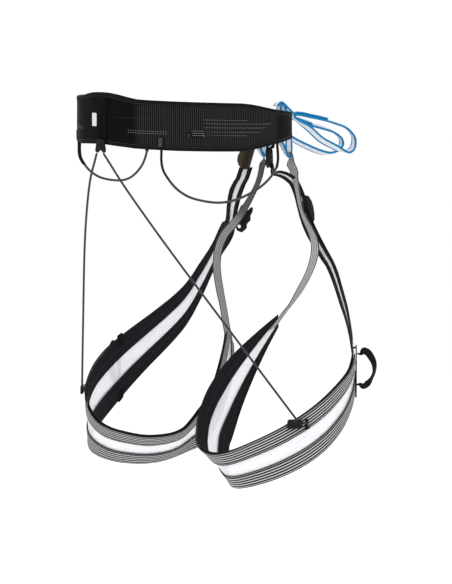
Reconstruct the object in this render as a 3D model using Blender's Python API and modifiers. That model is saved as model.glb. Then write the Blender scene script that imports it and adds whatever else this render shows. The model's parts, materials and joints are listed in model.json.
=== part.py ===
"""Climbing harness for mountaineering: a padded waist belt, two sewn belay slings, two gear loops,
two leg loops on tapering split webbing, and two elastic risers.

Units are millimetres in the tables and metres in the scene.  The wearer faces -Y and the wearer's
left is +X.  The world origin is the middle of the lumbar pad's flat inner face.  Places are stated
from the waist axis, the vertical line through the middle of the belt, and moved at the end.
"""
import math

import bmesh
import bpy
import numpy as np
from mathutils import Matrix, Vector

MM = 0.001
AXIS_Y = -119.2                 # the waist axis, from the lumbar pad's flat face
GAP = 0.4                       # clearance between neighbouring layers

# Waist belt
BELT_RADIUS = 129.5             # outer face of the shell
SHELL_THICK = 2.0
LINER_THICK = 3.0
CANT = 0.045                    # the belt hangs a little higher on the wearer's left
BELT_OPENING_DEG = 8.0          # half of the gap between the belt's two front ends
BINDING_THICK = 1.6
# angle from the centre back, height of the top edge, height of the bottom edge
BELT_EDGES = [
    (0, 30, -27), (8, 29.5, -28), (16, 26, -29), (25, 23.5, -30), (45, 23, -30.5), (80, 22.5, -30),
    (88, 21, -28), (96, 18, -25), (106, 15, -22), (120, 12.5, -19.5), (138, 10.5, -17.5), (180, 8, -15),
]
REAR_PANEL_THICK = 1.2
PAD_HALF_WIDTH = 22.0
PAD_HALF_HEIGHT = 19.0

# Leg loops: each leg hangs round a vertical axis beside the waist axis
LEG_X = 107.0
LEG_Y = -52.0
TAPE_THICK = 1.2
MESH_THICK = 0.8
# Edges of the leg band: angle, radius and height of the upper edge, then of the lower edge.
# Angle 0 points away from the other leg and 90 points to the rear.
LEFT_BAND = [
    (-139.5, 96, -75, -138.5, 113, -75), (-137, 92, -81, -136.5, 108, -85),
    (-132, 87, -93, -132.5, 102, -102), (-124, 86, -111, -126, 98, -125),
    (-111, 90, -130, -115, 98, -150), (-97, 96, -137, -97, 96, -178), (-85, 96, -165, -85, 96, -205),
    (-73, 96, -190, -73, 96, -241), (-57, 96, -224, -57, 96, -282), (-26, 96, -266, -26, 96, -336),
    (12, 96, -306, 12, 96, -393), (52, 96, -350, 52, 92, -420), (84, 96, -378, 84, 80, -429),
    (112, 96, -388, 112, 68, -431), (134, 96, -391, 134, 62, -429), (155, 96, -384, 155, 62, -423),
    (170, 94, -361, 170, 67, -416), (184, 88, -343, 184, 73, -408), (200, 82, -318, 200, 82, -382),
    (216, 82, -288, 216, 92, -330), (229, 83, -272, 229, 92, -288),
]
RIGHT_BAND = [
    (-139.3, 97, -72, -139.1, 114, -72), (-132.6, 93, -71, -133.4, 110, -71),
    (-126, 91, -74, -128, 108, -74), (-120.6, 90, -82, -123.3, 106, -82),
    (-117.4, 95, -96, -120.5, 111, -100), (-114.2, 95, -114, -117.7, 110, -120),
    (-108, 94, -136, -113, 110, -141), (-98.5, 96, -163, -104.4, 111, -167),
    (-90, 96, -182, -97.3, 110, -185), (-82, 95, -204, -91, 109, -208), (-73, 94, -224, -85, 107, -230),
    (-62, 93, -245, -76, 104, -256), (-50, 93, -265, -65, 100, -288), (-36, 93, -282, -49, 94, -317),
    (-22, 94, -296, -27, 93, -344), (-5, 95, -310, -5, 95, -371),
    (20, 96, -336, 20, 96, -398), (52, 96, -366, 52, 90, -422), (84, 96, -389, 84, 72, -434),
    (108, 96, -391, 110, 60, -429), (128, 96, -382, 134, 58, -414), (145, 96, -359, 150, 60, -399),
    (171, 96, -319, 170, 66, -386), (191, 96, -290, 190, 76, -354), (210, 96, -264, 210, 86, -304),
    (225, 95, -243, 225, 94, -259),
]
BAND_SAMPLES = 46
BAND_SHARES = (0.0, 0.17, 0.34, 0.66, 0.83, 1.0)
LAYER_GAP = 0.6
LEFT_OUTER_FROM = 8.6           # the striped outer tapes start here, counted in table rows
RIGHT_OUTER_FROM = 12.6

# Front webbing of each leg, from the tie-in point down to the band's narrow end
LEFT_FRONT = [(23, -156, -57), (24, -149.5, -80), (31, -133, -108), (48, -128, -131),
              (70, -129, -148), (82, -128.5, -168), (83, -126, -192), (75, -124, -220),
              (66, -122, -242), (57, -119, -264)]
RIGHT_FRONT = [(23, -156, -57), (42, -145, -67), (62, -132, -76), (70, -132.5, -94),
               (73, -137, -118), (80, -140, -139), (84, -140, -152), (84, -139, -167),
               (78, -136, -188), (68, -129.5, -211), (58, -126, -227), (48, -122, -240)]
# width directions of the front webbings at the tie-in point, at the crossing and at the band
LEFT_FRONT_TURN = [(0.5, 0.85, 0.1), (0.55, 0.8, 0.3), (0.6, 0.7, 0.4)]
RIGHT_FRONT_TURN = [(0.8, -0.55, 0.1), (0.65, -0.65, 0.25), (0.6, -0.6, 0.5)]
FRONT_WIDTH = 11.0
FRONT_THICK = 1.6

# Slings
SLING_WIDTH = 9.0
SLING_THICK = 2.4
TIE_IN_X = 23.0
HIP_Y = -158.0                  # the line both leg loops swing about
HIP_Z = -55.0

# Gear loops
GEAR_FROM_DEG = 37.0
GEAR_TO_DEG = 109.0
GEAR_RADIUS = 1.3
GEAR_WEB_WIDTH = 5.0
GEAR_HANG = 3.0                 # the loops' ends turn freely this far under the binding
GEAR_WEB_THICK = 1.6
# share of the way from the rear end to the front end, and share of the drop
GEAR_CURVE = [(0.0, 0.0), (0.0, 0.16), (0.015, 0.32), (0.055, 0.48), (0.11, 0.64), (0.2, 0.81),
              (0.33, 0.93), (0.5, 1.0), (0.64, 0.96), (0.76, 0.86), (0.87, 0.72), (0.94, 0.57),
              (0.985, 0.42), (1.0, 0.28), (1.0, 0.14), (0.995, 0.0)]

# Small pieces of each leg: angle round the leg axis and height
RISER_FOOT = {"left": (45, -350), "right": (31, -349)}
SIDE_STRAP_DEG = {"left": -6.0, "right": -42.0}
SIDE_LOOP_STAND = 5.6
HOOK_CENTRE = {"left": (50.5, -150, -130), "right": (67, -154.5, -117)}
RISER_CORD_RADIUS = 1.4

FABRIC = {
    "belt_black": (0.012, 0.012, 0.014), "liner_black": (0.02, 0.02, 0.022),
    "binding_black": (0.015, 0.015, 0.016), "badge_grey": (0.55, 0.56, 0.6),
    "webbing_black": (0.016, 0.016, 0.02), "webbing_grey": (0.22, 0.22, 0.24),
    "tape_striped": (0.2, 0.2, 0.22), "mesh_white": (0.8, 0.82, 0.86),
    "sling_blue": (0.25, 0.4, 0.75), "cord_grey": (0.07, 0.07, 0.08),
    "sleeve_black": (0.02, 0.02, 0.02),
}
PLASTIC = {"toggle_olive": (0.06, 0.045, 0.03), "plastic_black": (0.02, 0.02, 0.022)}


def clear_scene():
    for old in list(bpy.data.objects):
        bpy.data.objects.remove(old, do_unlink=True)


def make_material(name):
    rough = 0.45 if name in PLASTIC else 0.85
    colour = {**FABRIC, **PLASTIC}[name]
    mat = bpy.data.materials.get(name) or bpy.data.materials.new(name)
    mat.use_nodes = True
    shader = mat.node_tree.nodes["Principled BSDF"]
    shader.inputs["Base Color"].default_value = (*colour, 1.0)
    shader.inputs["Roughness"].default_value = rough
    shader.inputs["Metallic"].default_value = 0.0
    return mat


def world(point):
    """A place in millimetres from the waist axis, as a world place in metres."""
    return Vector((point[0], point[1] + AXIS_Y, point[2])) * MM


def smooth(rows, at):
    """Cubic curve through the rows of a table, read at positions counted in rows."""
    rows = np.array(rows, dtype=float)
    at = np.atleast_1d(np.array(at, dtype=float))
    low = np.clip(at.astype(int), 0, len(rows) - 2)
    part = (at - low)[:, None]
    slope = np.gradient(rows, axis=0)
    a, b, da, db = rows[low], rows[low + 1], slope[low], slope[low + 1]
    return ((1 + 2 * part) * (1 - part) ** 2 * a + part * (1 - part) ** 2 * da
            + part ** 2 * (3 - 2 * part) * b + part ** 2 * (part - 1) * db)


def smooth_ring(rows, count):
    """Evenly counted places on a closed curve through the rows."""
    padded = list(rows[-3:]) + list(rows) + list(rows[:3])
    return smooth(padded, 3 + np.arange(count) * len(rows) / count)


def link(name, mesh, material, collection, pivot=(0, 0, 0)):
    """Adds a mesh given in world metres, with its origin moved to the pivot."""
    pivot = Vector(pivot)
    for vert in mesh.vertices:
        vert.co -= pivot
    mesh.materials.append(make_material(material))
    piece = bpy.data.objects.new(name, mesh)
    piece.location = pivot
    collection.objects.link(piece)
    return piece


def skin(name, lines, thick, material, collection, pivot=(0, 0, 0), closed=False):
    """A thin layer through lines of points laid side by side, thickened both ways."""
    mesh = bmesh.new()
    rows = [[mesh.verts.new(world(p)) for p in line] for line in lines]
    count = len(rows[0])
    for i in range(count if closed else count - 1):
        j = (i + 1) % count
        for near, far in zip(rows[:-1], rows[1:]):
            mesh.faces.new((near[i], far[i], far[j], near[j]))
    bmesh.ops.triangulate(mesh, faces=mesh.faces[:], quad_method="FIXED")
    data = bpy.data.meshes.new(name)
    mesh.to_mesh(data)
    mesh.free()
    piece = link(name, data, material, collection, pivot)
    shell = piece.modifiers.new("thickness", "SOLIDIFY")
    shell.thickness = thick * MM
    shell.offset = 0.0
    data.shade_smooth()
    data.set_sharp_from_angle(angle=math.radians(50))
    return piece


def ribbon(name, centre, across, width, thick, material, collection, pivot=(0, 0, 0), closed=False,
           samples=24):
    """Webbing of constant width along a centre curve; across holds its width directions."""
    if closed:
        line, side = smooth_ring(centre, samples), smooth_ring(across, samples)
    else:
        at = np.linspace(0, len(centre) - 1, samples)
        line, side = smooth(centre, at), smooth(across, at)
    side = side / np.linalg.norm(side, axis=1)[:, None] * width / 2
    return skin(name, (line + side, line - side), thick, material, collection, pivot, closed)


def tube(name, points, radius, material, collection, pivot=(0, 0, 0), samples=20):
    """A round cord or sleeve through the points."""
    line = smooth(points, np.linspace(0, len(points) - 1, samples))
    curve = bpy.data.curves.new(name, "CURVE")
    curve.dimensions = "3D"
    curve.bevel_depth = radius * MM
    curve.bevel_resolution = 1
    curve.use_fill_caps = True
    spline = curve.splines.new("POLY")
    spline.points.add(samples - 1)
    for knot, place in zip(spline.points, line):
        knot.co = (*(world(place) - Vector(pivot)), 1)
    curve.materials.append(make_material(material))
    piece = bpy.data.objects.new(name, curve)
    piece.location = pivot
    collection.objects.link(piece)
    return piece


def plate(name, outline, thick, centre, face, up, material, collection, pivot=None, edge=0.0):
    """A flat piece: an outline in millimetres, extruded, with its face turned to a direction."""
    face = Vector(face).normalized()
    up = (Vector(up) - face * Vector(up).dot(face)).normalized()
    curve = bpy.data.curves.new(name, "CURVE")
    curve.dimensions = "2D"
    curve.fill_mode = "BOTH"
    curve.extrude = (thick / 2 - edge) * MM
    curve.bevel_depth = edge * MM
    curve.offset = -edge * MM
    curve.bevel_resolution = 1
    area = sum(a[0] * b[1] - b[0] * a[1] for a, b in zip(outline, outline[1:] + outline[:1]))
    outline = outline if area > 0 else outline[::-1]
    spline = curve.splines.new("POLY")
    spline.points.add(len(outline) - 1)
    spline.use_cyclic_u = True
    for knot, (x, y) in zip(spline.points, outline):
        knot.co = (x * MM, y * MM, 0, 1)
    curve.materials.append(make_material(material))
    piece = bpy.data.objects.new(name, curve)
    turn = Matrix((up.cross(face), up, face)).transposed().to_4x4()
    piece.matrix_world = Matrix.Translation(world(centre)) @ turn
    collection.objects.link(piece)
    if pivot is not None:
        hang_on_empty(piece, pivot, collection)
    return piece


def hang_on_empty(piece, pivot, collection):
    """Parents a moving piece to an empty on its joint's axis."""
    empty = bpy.data.objects.new(piece.name + "_pivot", None)
    empty.location = pivot
    empty.empty_display_size = 0.01
    collection.objects.link(empty)
    placed = piece.matrix_world.copy()
    piece.parent = empty
    piece.matrix_parent_inverse = Matrix.Translation(-Vector(pivot))
    piece.matrix_basis = placed


def rounded(width, height, corner, steps=3):
    """Outline of a rectangle with rounded corners."""
    outline = []
    for quarter, (sx, sy) in enumerate(((1, 1), (-1, 1), (-1, -1), (1, -1))):
        for k in range(steps + 1):
            turn = math.radians(90 * (quarter + k / steps))
            outline.append((sx * (width / 2 - corner) + corner * math.cos(turn),
                            sy * (height / 2 - corner) + corner * math.sin(turn)))
    return outline


# Waist belt -----------------------------------------------------------------------------------

def belt_point(angle, radius, height):
    """A place on the belt; the angle runs from the centre back to the wearer's right."""
    turn = math.radians(angle)
    x = -radius * math.sin(turn)
    return (x, radius * math.cos(turn), height + CANT * x)


def belt_heights(angle):
    size = abs(angle)
    for low, high in zip(BELT_EDGES[:-1], BELT_EDGES[1:]):
        if size <= high[0]:
            break
    share = (size - low[0]) / (high[0] - low[0])
    share = share * share * (3 - 2 * share) if low[0] < 25 else share
    return (low[1] + (high[1] - low[1]) * share, low[2] + (high[2] - low[2]) * share)


def belt_layer(name, radius, thick, material, collection, reach, inset=0.0, samples=61):
    angles = np.linspace(reach[0], reach[1], samples)
    top = np.array([belt_point(a, radius, belt_heights(a)[0] - inset) for a in angles])
    bottom = np.array([belt_point(a, radius, belt_heights(a)[1] + inset) for a in angles])
    return skin(name, (top, (top + bottom) / 2, bottom), thick, material, collection)


def build_belt(collection):
    end = 180 - BELT_OPENING_DEG
    shell_mid = BELT_RADIUS - SHELL_THICK / 2
    liner_mid = BELT_RADIUS - SHELL_THICK - GAP - LINER_THICK / 2
    belt_layer("belt_shell", shell_mid, SHELL_THICK, "belt_black", collection, (-end, end))
    belt_layer("belt_liner", liner_mid, LINER_THICK, "liner_black", collection, (-end, end))
    inner = BELT_RADIUS - SHELL_THICK - GAP - LINER_THICK
    angles = np.linspace(-end, end, 61)
    for name, row, side in (("belt_binding_top", 0, 1), ("belt_binding_bottom", 1, -1)):
        lift = side * (GAP + BINDING_THICK / 2)
        outside = [belt_point(a, BELT_RADIUS, belt_heights(a)[row] + lift) for a in angles]
        inside = [belt_point(a, inner, belt_heights(a)[row] + lift) for a in angles]
        skin(name, (outside, inside), BINDING_THICK, "binding_black", collection)
    build_lumbar_pad(collection, inner - GAP)
    outer = BELT_RADIUS + GAP + REAR_PANEL_THICK / 2
    belt_layer("rear_panel", outer, REAR_PANEL_THICK, "belt_black", collection, (-17, 5), 2.0, 13)
    badge = BELT_RADIUS + GAP + REAR_PANEL_THICK + GAP + 0.4
    badge_rows = [[belt_point(a, badge, h) for a in np.linspace(-6.5, -1.5, 5)] for h in (8.5, -8.5)]
    skin("rear_badge", badge_rows, 0.8, "badge_grey", collection)
    for side, word in ((1, "left"), (-1, "right")):
        angles = np.linspace(-side * 50, -side * 60, 5)
        rows = [[belt_point(a, BELT_RADIUS + GAP + 0.5, h) for a in angles] for h in (-10, -16)]
        skin(word + "_clipper_slot", rows, 1.0, "webbing_black", collection)


def build_lumbar_pad(collection, radius):
    """Pad with a flat inner face and an outer face that follows the belt."""
    arc = math.degrees(math.asin(PAD_HALF_WIDTH / radius))
    outline = [(-radius * math.sin(math.radians(a)), radius * math.cos(math.radians(a)))
               for a in np.linspace(-arc, arc, 9)]
    outline += [(-PAD_HALF_WIDTH, -AXIS_Y), (PAD_HALF_WIDTH, -AXIS_Y)]
    plate("lumbar_pad", outline, 2 * PAD_HALF_HEIGHT, (0, 0, 0), (0, 0, 1), (0, 1, 0),
          "liner_black", collection)


# Slings at the front ----------------------------------------------------------------------------

def mirror_x(points, side):
    """Turns places stated for the wearer's left into places on the asked side."""
    return [(side * p[0],) + tuple(p[1:]) for p in points]


def build_tie_in(side, word, collection):
    """A sling sewn round the belt's front end; its lower part is the tie-in eye."""
    crown = 18 if word == "right" else 15.5
    ring = [(TIE_IN_X, -117, 3), (TIE_IN_X, -118.6, crown - 3), (TIE_IN_X, -125, crown),
            (TIE_IN_X, -132, crown - 2), (TIE_IN_X, -139, 7), (TIE_IN_X, -146, -6),
            (TIE_IN_X, -154, -22), (TIE_IN_X, -157, -40), (TIE_IN_X, -151, -47),
            (TIE_IN_X, -143, -42), (TIE_IN_X, -130, -33), (TIE_IN_X, -119, -25),
            (TIE_IN_X, -116, -12)]
    ring = mirror_x(ring, side)
    across = [(side, 0, 0)] * len(ring)
    ribbon(word + "_tie_in_sling", ring, across, SLING_WIDTH, SLING_THICK, "sling_blue", collection,
           closed=True, samples=36)


def build_belay_sling(side, word, path, across, collection):
    pivot = world((side * TIE_IN_X, -150, 3))
    ribbon(word + "_belay_sling", path, across, SLING_WIDTH, SLING_THICK, "sling_blue", collection,
           pivot, closed=True, samples=44)


def build_slings(collection):
    for side, word in ((1, "left"), (-1, "right")):
        build_tie_in(side, word, collection)
    right_path = [(-22, -160, 9), (-21, -172, 8), (-21, -190, 3), (-20, -213, -2), (-20, -236, -7),
                  (-20, -257, -13), (-20, -271, -25), (-20, -270, -38), (-20, -259, -44),
                  (-20, -236, -37), (-20, -212, -27), (-20, -190, -11), (-21, -172, 0)]
    right_across = [(1, 0, 0), (1, 0, 0), (1, 0, 0), (1, 0, 0.1), (1, 0, 0.3), (1, 0, 0.4),
                    (1, 0, 0.3), (1, 0.2, 0.2), (1, 0.4, 0.4), (1, 0.5, -0.9), (1, 0.6, -1.1),
                    (1, 0.4, -0.8), (1, 0, -0.1)]
    build_belay_sling(-1, "right", right_path, right_across, collection)
    left_path = [(22, -160, 6), (20, -174, 6), (17, -196, -1), (14, -220, -8), (10, -243, -13),
                 (7, -262, -19), (5, -274, -29), (6, -272, -39), (8, -258, -46), (11, -240, -44),
                 (15, -218, -36), (18, -196, -26), (20, -176, -14), (22, -162, -5)]
    left_across = [(1, 0, 0), (1, 0, 0), (1, 0, 0.2), (1, 0.1, 0.5), (1, 0.2, 0.7), (1, 0.2, 0.5),
                   (1, 0, 0.2), (1, 0, 0.1), (1, 0, -0.2), (1, 0.3, -0.6), (1, 0.3, -0.6),
                   (1, 0.2, -0.4), (1, 0, -0.1), (1, 0, 0)]
    build_belay_sling(1, "left", left_path, left_across, collection)


# Gear loops -------------------------------------------------------------------------------------

def build_gear_loop(side, word, drop, lean, collection):
    """A sleeved cord with a webbing end at each side, hung under the belt's bottom edge."""
    radius = BELT_RADIUS - SHELL_THICK - GAP / 2
    ends = []
    for turn in (GEAR_FROM_DEG, GEAR_TO_DEG):
        bottom = belt_heights(turn)[1] - GAP - BINDING_THICK - GEAR_HANG
        ends.append(np.array(belt_point(-side * turn, radius, bottom)))
    pivot = world((ends[0] + ends[1]) / 2)
    chord = ends[1] - ends[0]
    places = [ends[0] + chord * (share + lean * math.sin(math.pi * share))
              - np.array((0, 0, drop * fall)) for share, fall in GEAR_CURVE]
    across = np.cross(chord, (0, 0, 1))
    for place, first, last in (("rear", 0.0, 2.9), ("front", 12.1, 15.0)):
        line = smooth(places, np.linspace(first, last, 9))
        ribbon(word + "_gear_loop_" + place + "_web", line, [across] * 9, GEAR_WEB_WIDTH,
               GEAR_WEB_THICK, "webbing_black", collection, pivot, samples=9)
    line = smooth(places, np.linspace(3.0, 12.0, 13))
    tube(word + "_gear_loop_sleeve", [tuple(p) for p in line], GEAR_RADIUS, "sleeve_black", collection,
         pivot, 25)
    angles = np.linspace(-side * (GEAR_FROM_DEG - 2), -side * (GEAR_FROM_DEG + 2), 3)
    level = belt_heights(GEAR_FROM_DEG)[1]
    rows = [[belt_point(a, BELT_RADIUS + GAP + 0.4, level + h) for a in angles] for h in (13, 2)]
    skin(word + "_gear_loop_tack", rows, 0.8, "webbing_black", collection)


# Legs -------------------------------------------------------------------------------------------

def band_edges(table, side, at):
    """Upper and lower edges of a leg band at positions counted in table rows."""
    edges = []
    rows = smooth(table, at)
    for first in (0, 3):
        turn = np.radians(rows[:, first])
        x = side * (LEG_X + rows[:, first + 1] * np.cos(turn))
        y = LEG_Y + rows[:, first + 1] * np.sin(turn)
        edges.append(np.stack([x, y, rows[:, first + 2]], axis=1))
    return edges


def band_grid(table, side, offset):
    """Lines of points along the band at the shares of its width, moved off it by an offset."""
    upper, lower = band_edges(table, side, np.linspace(0, len(table) - 1, BAND_SAMPLES))
    share = np.array(BAND_SHARES)[:, None, None]
    grid = upper + (lower - upper) * share
    along = np.gradient(grid, axis=1)
    across = np.gradient(grid, BAND_SHARES, axis=0)
    normal = np.cross(across, along)
    normal /= np.linalg.norm(normal, axis=2)[:, :, None]
    return grid + normal * offset * side


def band_layer(name, table, side, start, lines, offset, thick, material, collection, pivot):
    """A layer of the leg band between two of its lines, from a table row to the narrow end."""
    first = round(start / (len(table) - 1) * (BAND_SAMPLES - 1))
    grid = band_grid(table, side, offset)[lines[0]:lines[1] + 1, first:]
    return skin(name, grid, thick, material, collection, pivot)


def build_leg(side, word, table, outer_from, front, turns, collection):
    pivot = world((side * TIE_IN_X, HIP_Y, HIP_Z))
    shift = MESH_THICK / 2 + LAYER_GAP + TAPE_THICK / 2
    prefix = word + "_leg_"
    layers = (("mesh", 0, (1, 4), 0, MESH_THICK, "mesh_white"),
              ("inner_upper_tape", 0, (0, 2), -shift, TAPE_THICK, "webbing_black"),
              ("inner_lower_tape", 0, (3, 5), -shift, TAPE_THICK, "webbing_black"),
              ("outer_upper_tape", outer_from, (0, 2), shift, TAPE_THICK, "tape_striped"),
              ("outer_lower_tape", outer_from, (3, 5), shift, TAPE_THICK, "tape_striped"))
    for part, start, lines, offset, thick, material in layers:
        band_layer(prefix + part, table, side, start, lines, offset, thick, material, collection,
                   pivot)
    line = mirror_x(front, side)
    across = [turns[0]] * 2 + [turns[1]] * (len(front) - 4) + [turns[2]] * 2
    across = mirror_x(across, side)
    ribbon(prefix + "front_webbing", line, across, FRONT_WIDTH, FRONT_THICK, "webbing_grey",
           collection, pivot, samples=26)
    build_leg_fittings(side, word, table, collection, pivot)


def leg_point(side, angle, radius, height):
    turn = math.radians(angle)
    return (side * (LEG_X + radius * math.cos(turn)), LEG_Y + radius * math.sin(turn), height)


def band_at(table, side, angle):
    """Upper and lower band edges at an angle round the leg."""
    at = np.linspace(0, len(table) - 1, 400)
    rows = smooth(table, at)
    upper = rows[np.argmin(abs(rows[:, 0] - angle))]
    lower = rows[np.argmin(abs(rows[:, 3] - angle))]
    return leg_point(side, angle, upper[1], upper[2]), leg_point(side, angle, lower[4], lower[5])


def build_leg_fittings(side, word, table, collection, pivot):
    prefix = word + "_leg_"
    outward = MESH_THICK / 2 + GAP + TAPE_THICK + GAP
    build_toggle(side, word, collection)
    build_hook(side, word, collection)
    build_side_loop(side, word, table, outward, collection, pivot)
    build_riser(side, word, table, outward, collection, pivot, prefix)


def build_toggle(side, word, collection):
    """The block that holds the top of the leg strap, on a short webbing tab under the belt."""
    face = (side * 0.743, -0.669, 0)
    centre = (side * 24, -123, -51)
    material = "toggle_olive" if word == "left" else "plastic_black"
    plate(word + "_leg_toggle", rounded(25, 26, 3), 7.0, centre, face, (0, 0, 1), material,
          collection, edge=1.2)
    tab = [(side * 32.5, -122, -21), (side * 31.5, -119.5, -29), (side * 31, -117, -37.3)]
    ribbon(word + "_leg_toggle_tab", tab, [(side * 0.9, 0.3, 0)] * 3, 6.0, 1.8, "webbing_black",
           collection, samples=6)


def build_hook(side, word, collection):
    """Flat hook on the front webbing that lets the leg loop be opened."""
    centre = mirror_x([HOOK_CENTRE[word]], side)[0]
    outline = [(-7, -13), (-2, -17), (1, -13), (6, -12), (7, 6), (8, 15), (5, 17), (3, 10), (-3, 11),
               (-7, 17), (-9, 12), (-7, 4)]
    outline = [(side * x, y) for x, y in outline]
    lean = (side * 0.38, 0.22, -0.9) if word == "left" else (side * 0.3, 0.1, -0.95)
    top = (centre[0] - side * 6, centre[1] - 2, centre[2] + 16)
    face = (0.55, -0.83, 0.05) if word == "left" else (-0.93, -0.36, 0.05)
    plate(word + "_leg_hook", outline, 3.6, centre, face, [-c for c in lean], "plastic_black",
          collection, world(top), edge=0.6)


def build_side_loop(side, word, table, outward, collection, pivot):
    """A strap sewn across the band's outer face, with a small free loop standing off it."""
    angle = SIDE_STRAP_DEG[word]
    upper, lower = (np.array(p) for p in band_at(table, side, angle))
    out = np.array((side * math.cos(math.radians(angle)), math.sin(math.radians(angle)), 0))
    along = np.array((-side * math.sin(math.radians(angle)), math.cos(math.radians(angle)), 0))
    stand = outward + 0.8
    line = [upper + (lower - upper) * share + out * (stand + 1.2) for share in (-0.04, 0.33, 0.67, 1.04)]
    ribbon(word + "_leg_side_strap", line, [along] * 4, 14.0, 1.2, "webbing_black", collection, pivot,
           samples=8)
    high = upper + (lower - upper) * 0.08
    low = upper + (lower - upper) * 0.86
    knots = ((0.04, SIDE_LOOP_STAND), (-0.1, 9), (0.0, 15), (0.28, 21), (0.58, 21), (0.86, 15),
             (1.0, 8.5), (0.94, SIDE_LOOP_STAND))
    line = [high + (low - high) * share + out * (stand + far) for share, far in knots]
    middle = world((high + low) / 2 + out * (stand + SIDE_LOOP_STAND))
    ribbon(word + "_leg_side_loop", line, [along] * len(line), 9.0, 1.8, "webbing_black", collection,
           middle, samples=20)


def build_riser(side, word, table, outward, collection, pivot, prefix):
    """Elastic cord from the tab at the belt's back to a plate on the band's upper edge."""
    angle, level = RISER_FOOT[word]
    upper = np.array(band_at(table, side, angle)[0])
    out = np.array((side * math.cos(math.radians(angle)), math.sin(math.radians(angle)), 0))
    along = np.array((-side * math.sin(math.radians(angle)), math.cos(math.radians(angle)), 0))
    foot = upper + out * (outward + 3.4) + np.array((0, 0, -4.0))
    plate(prefix + "riser_plate", rounded(18, 11, 2.5), 2.4, tuple(foot), out, (0, 0, 1),
          "plastic_black", collection, pivot)
    keep = foot - along * 14.5 - out * 1.6
    ribbon(prefix + "riser_keeper", [keep + np.array((0, 0, h)) for h in (5, 0, -7)], [along] * 3, 4.0,
           1.0, "webbing_black", collection, pivot, samples=5)
    start = np.array((side * 9 - 4, BELT_RADIUS + 3.5, -43.5))
    end = foot + np.array((0, 0, 7.6))
    bow = np.array((side * 9.0, 2.0, 0.0)) if word == "left" else np.array((0.0, 0.0, -6.0))
    line = [start, start + (end - start) * 0.12 + bow * 0.8, start + (end - start) * 0.35 + bow,
            start + (end - start) * 0.7 + bow * 0.5, end]
    tube(word + "_riser", line, RISER_CORD_RADIUS, "cord_grey", collection, samples=16)


def build_riser_tab(collection):
    """The tab under the belt's back that both risers leave from."""
    outline = [(7, 9), (-7, 9), (-11, -5), (-8, -9), (-4, -8), (0, -5), (4, -8), (8, -9), (11, -5)]
    centre = (-4, BELT_RADIUS + 3.6, -33)
    plate("riser_tab", outline, 2.2, centre, (0, 1, 0), (0, 0, 1), "webbing_black", collection)


def build():
    clear_scene()
    collection = bpy.data.collections.new("climbing_harness")
    bpy.context.scene.collection.children.link(collection)
    build_belt(collection)
    build_slings(collection)
    build_gear_loop(-1, "right", 62, 0.0, collection)
    build_gear_loop(1, "left", 52, 0.12, collection)
    build_riser_tab(collection)
    build_leg(1, "left", LEFT_BAND, LEFT_OUTER_FROM, LEFT_FRONT, LEFT_FRONT_TURN,
              collection)
    build_leg(-1, "right", RIGHT_BAND, RIGHT_OUTER_FROM, RIGHT_FRONT,
              RIGHT_FRONT_TURN, collection)


build()
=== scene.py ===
"""Looks of the climbing harness: fabric, tape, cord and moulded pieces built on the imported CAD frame.

Places are metres and are read from the CAD nodes.  Thicknesses, radii and steps handed to the builders
are millimetres, and angles are degrees.
"""
import json
import math

import bmesh
import bpy
import numpy as np
from mathutils import Matrix, Vector


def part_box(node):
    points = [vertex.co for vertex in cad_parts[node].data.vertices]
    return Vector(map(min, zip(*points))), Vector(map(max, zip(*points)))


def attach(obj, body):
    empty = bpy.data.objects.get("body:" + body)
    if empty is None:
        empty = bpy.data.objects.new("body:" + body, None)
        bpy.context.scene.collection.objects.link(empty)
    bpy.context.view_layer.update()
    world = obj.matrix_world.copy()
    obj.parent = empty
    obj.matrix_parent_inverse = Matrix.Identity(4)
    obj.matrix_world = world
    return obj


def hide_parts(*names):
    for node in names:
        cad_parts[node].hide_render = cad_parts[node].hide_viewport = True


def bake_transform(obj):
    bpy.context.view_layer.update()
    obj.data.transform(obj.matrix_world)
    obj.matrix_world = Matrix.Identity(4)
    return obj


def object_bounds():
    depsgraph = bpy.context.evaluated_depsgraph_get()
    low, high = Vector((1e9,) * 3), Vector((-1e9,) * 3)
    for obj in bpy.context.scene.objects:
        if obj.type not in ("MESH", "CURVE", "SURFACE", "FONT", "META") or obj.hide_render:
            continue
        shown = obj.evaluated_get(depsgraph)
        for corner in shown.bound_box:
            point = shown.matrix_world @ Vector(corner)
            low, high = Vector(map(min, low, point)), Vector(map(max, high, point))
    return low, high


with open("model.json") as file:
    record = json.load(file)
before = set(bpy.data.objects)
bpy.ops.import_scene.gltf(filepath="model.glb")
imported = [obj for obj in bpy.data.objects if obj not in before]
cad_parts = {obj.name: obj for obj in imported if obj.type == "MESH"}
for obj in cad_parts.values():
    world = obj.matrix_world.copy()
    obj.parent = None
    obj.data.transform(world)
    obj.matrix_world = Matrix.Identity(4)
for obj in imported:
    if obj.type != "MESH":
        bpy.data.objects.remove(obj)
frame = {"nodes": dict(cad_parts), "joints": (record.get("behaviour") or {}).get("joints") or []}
cad_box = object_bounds()

MM = 0.001
SAME_PLACE = 0.01 * MM
SIDES = (("left", 1), ("right", -1))
UP = np.array((0, 0, 1.0))
# Level direction that the photograph shows as its left
LEFTWARD = np.array((0.669, 0.743, 0.0))


# Reading the frame

def node_places(node):
    """Unique corners of a CAD node and its faces as indices into them."""
    mesh = frame["nodes"][node].data
    places = np.array([v.co for v in mesh.vertices])
    _, first, which = np.unique(np.round(places / SAME_PLACE).astype(int), axis=0,
                                return_index=True, return_inverse=True)
    which = which.reshape(-1)
    return places[first], [[which[v] for v in face.vertices] for face in mesh.polygons]


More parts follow.
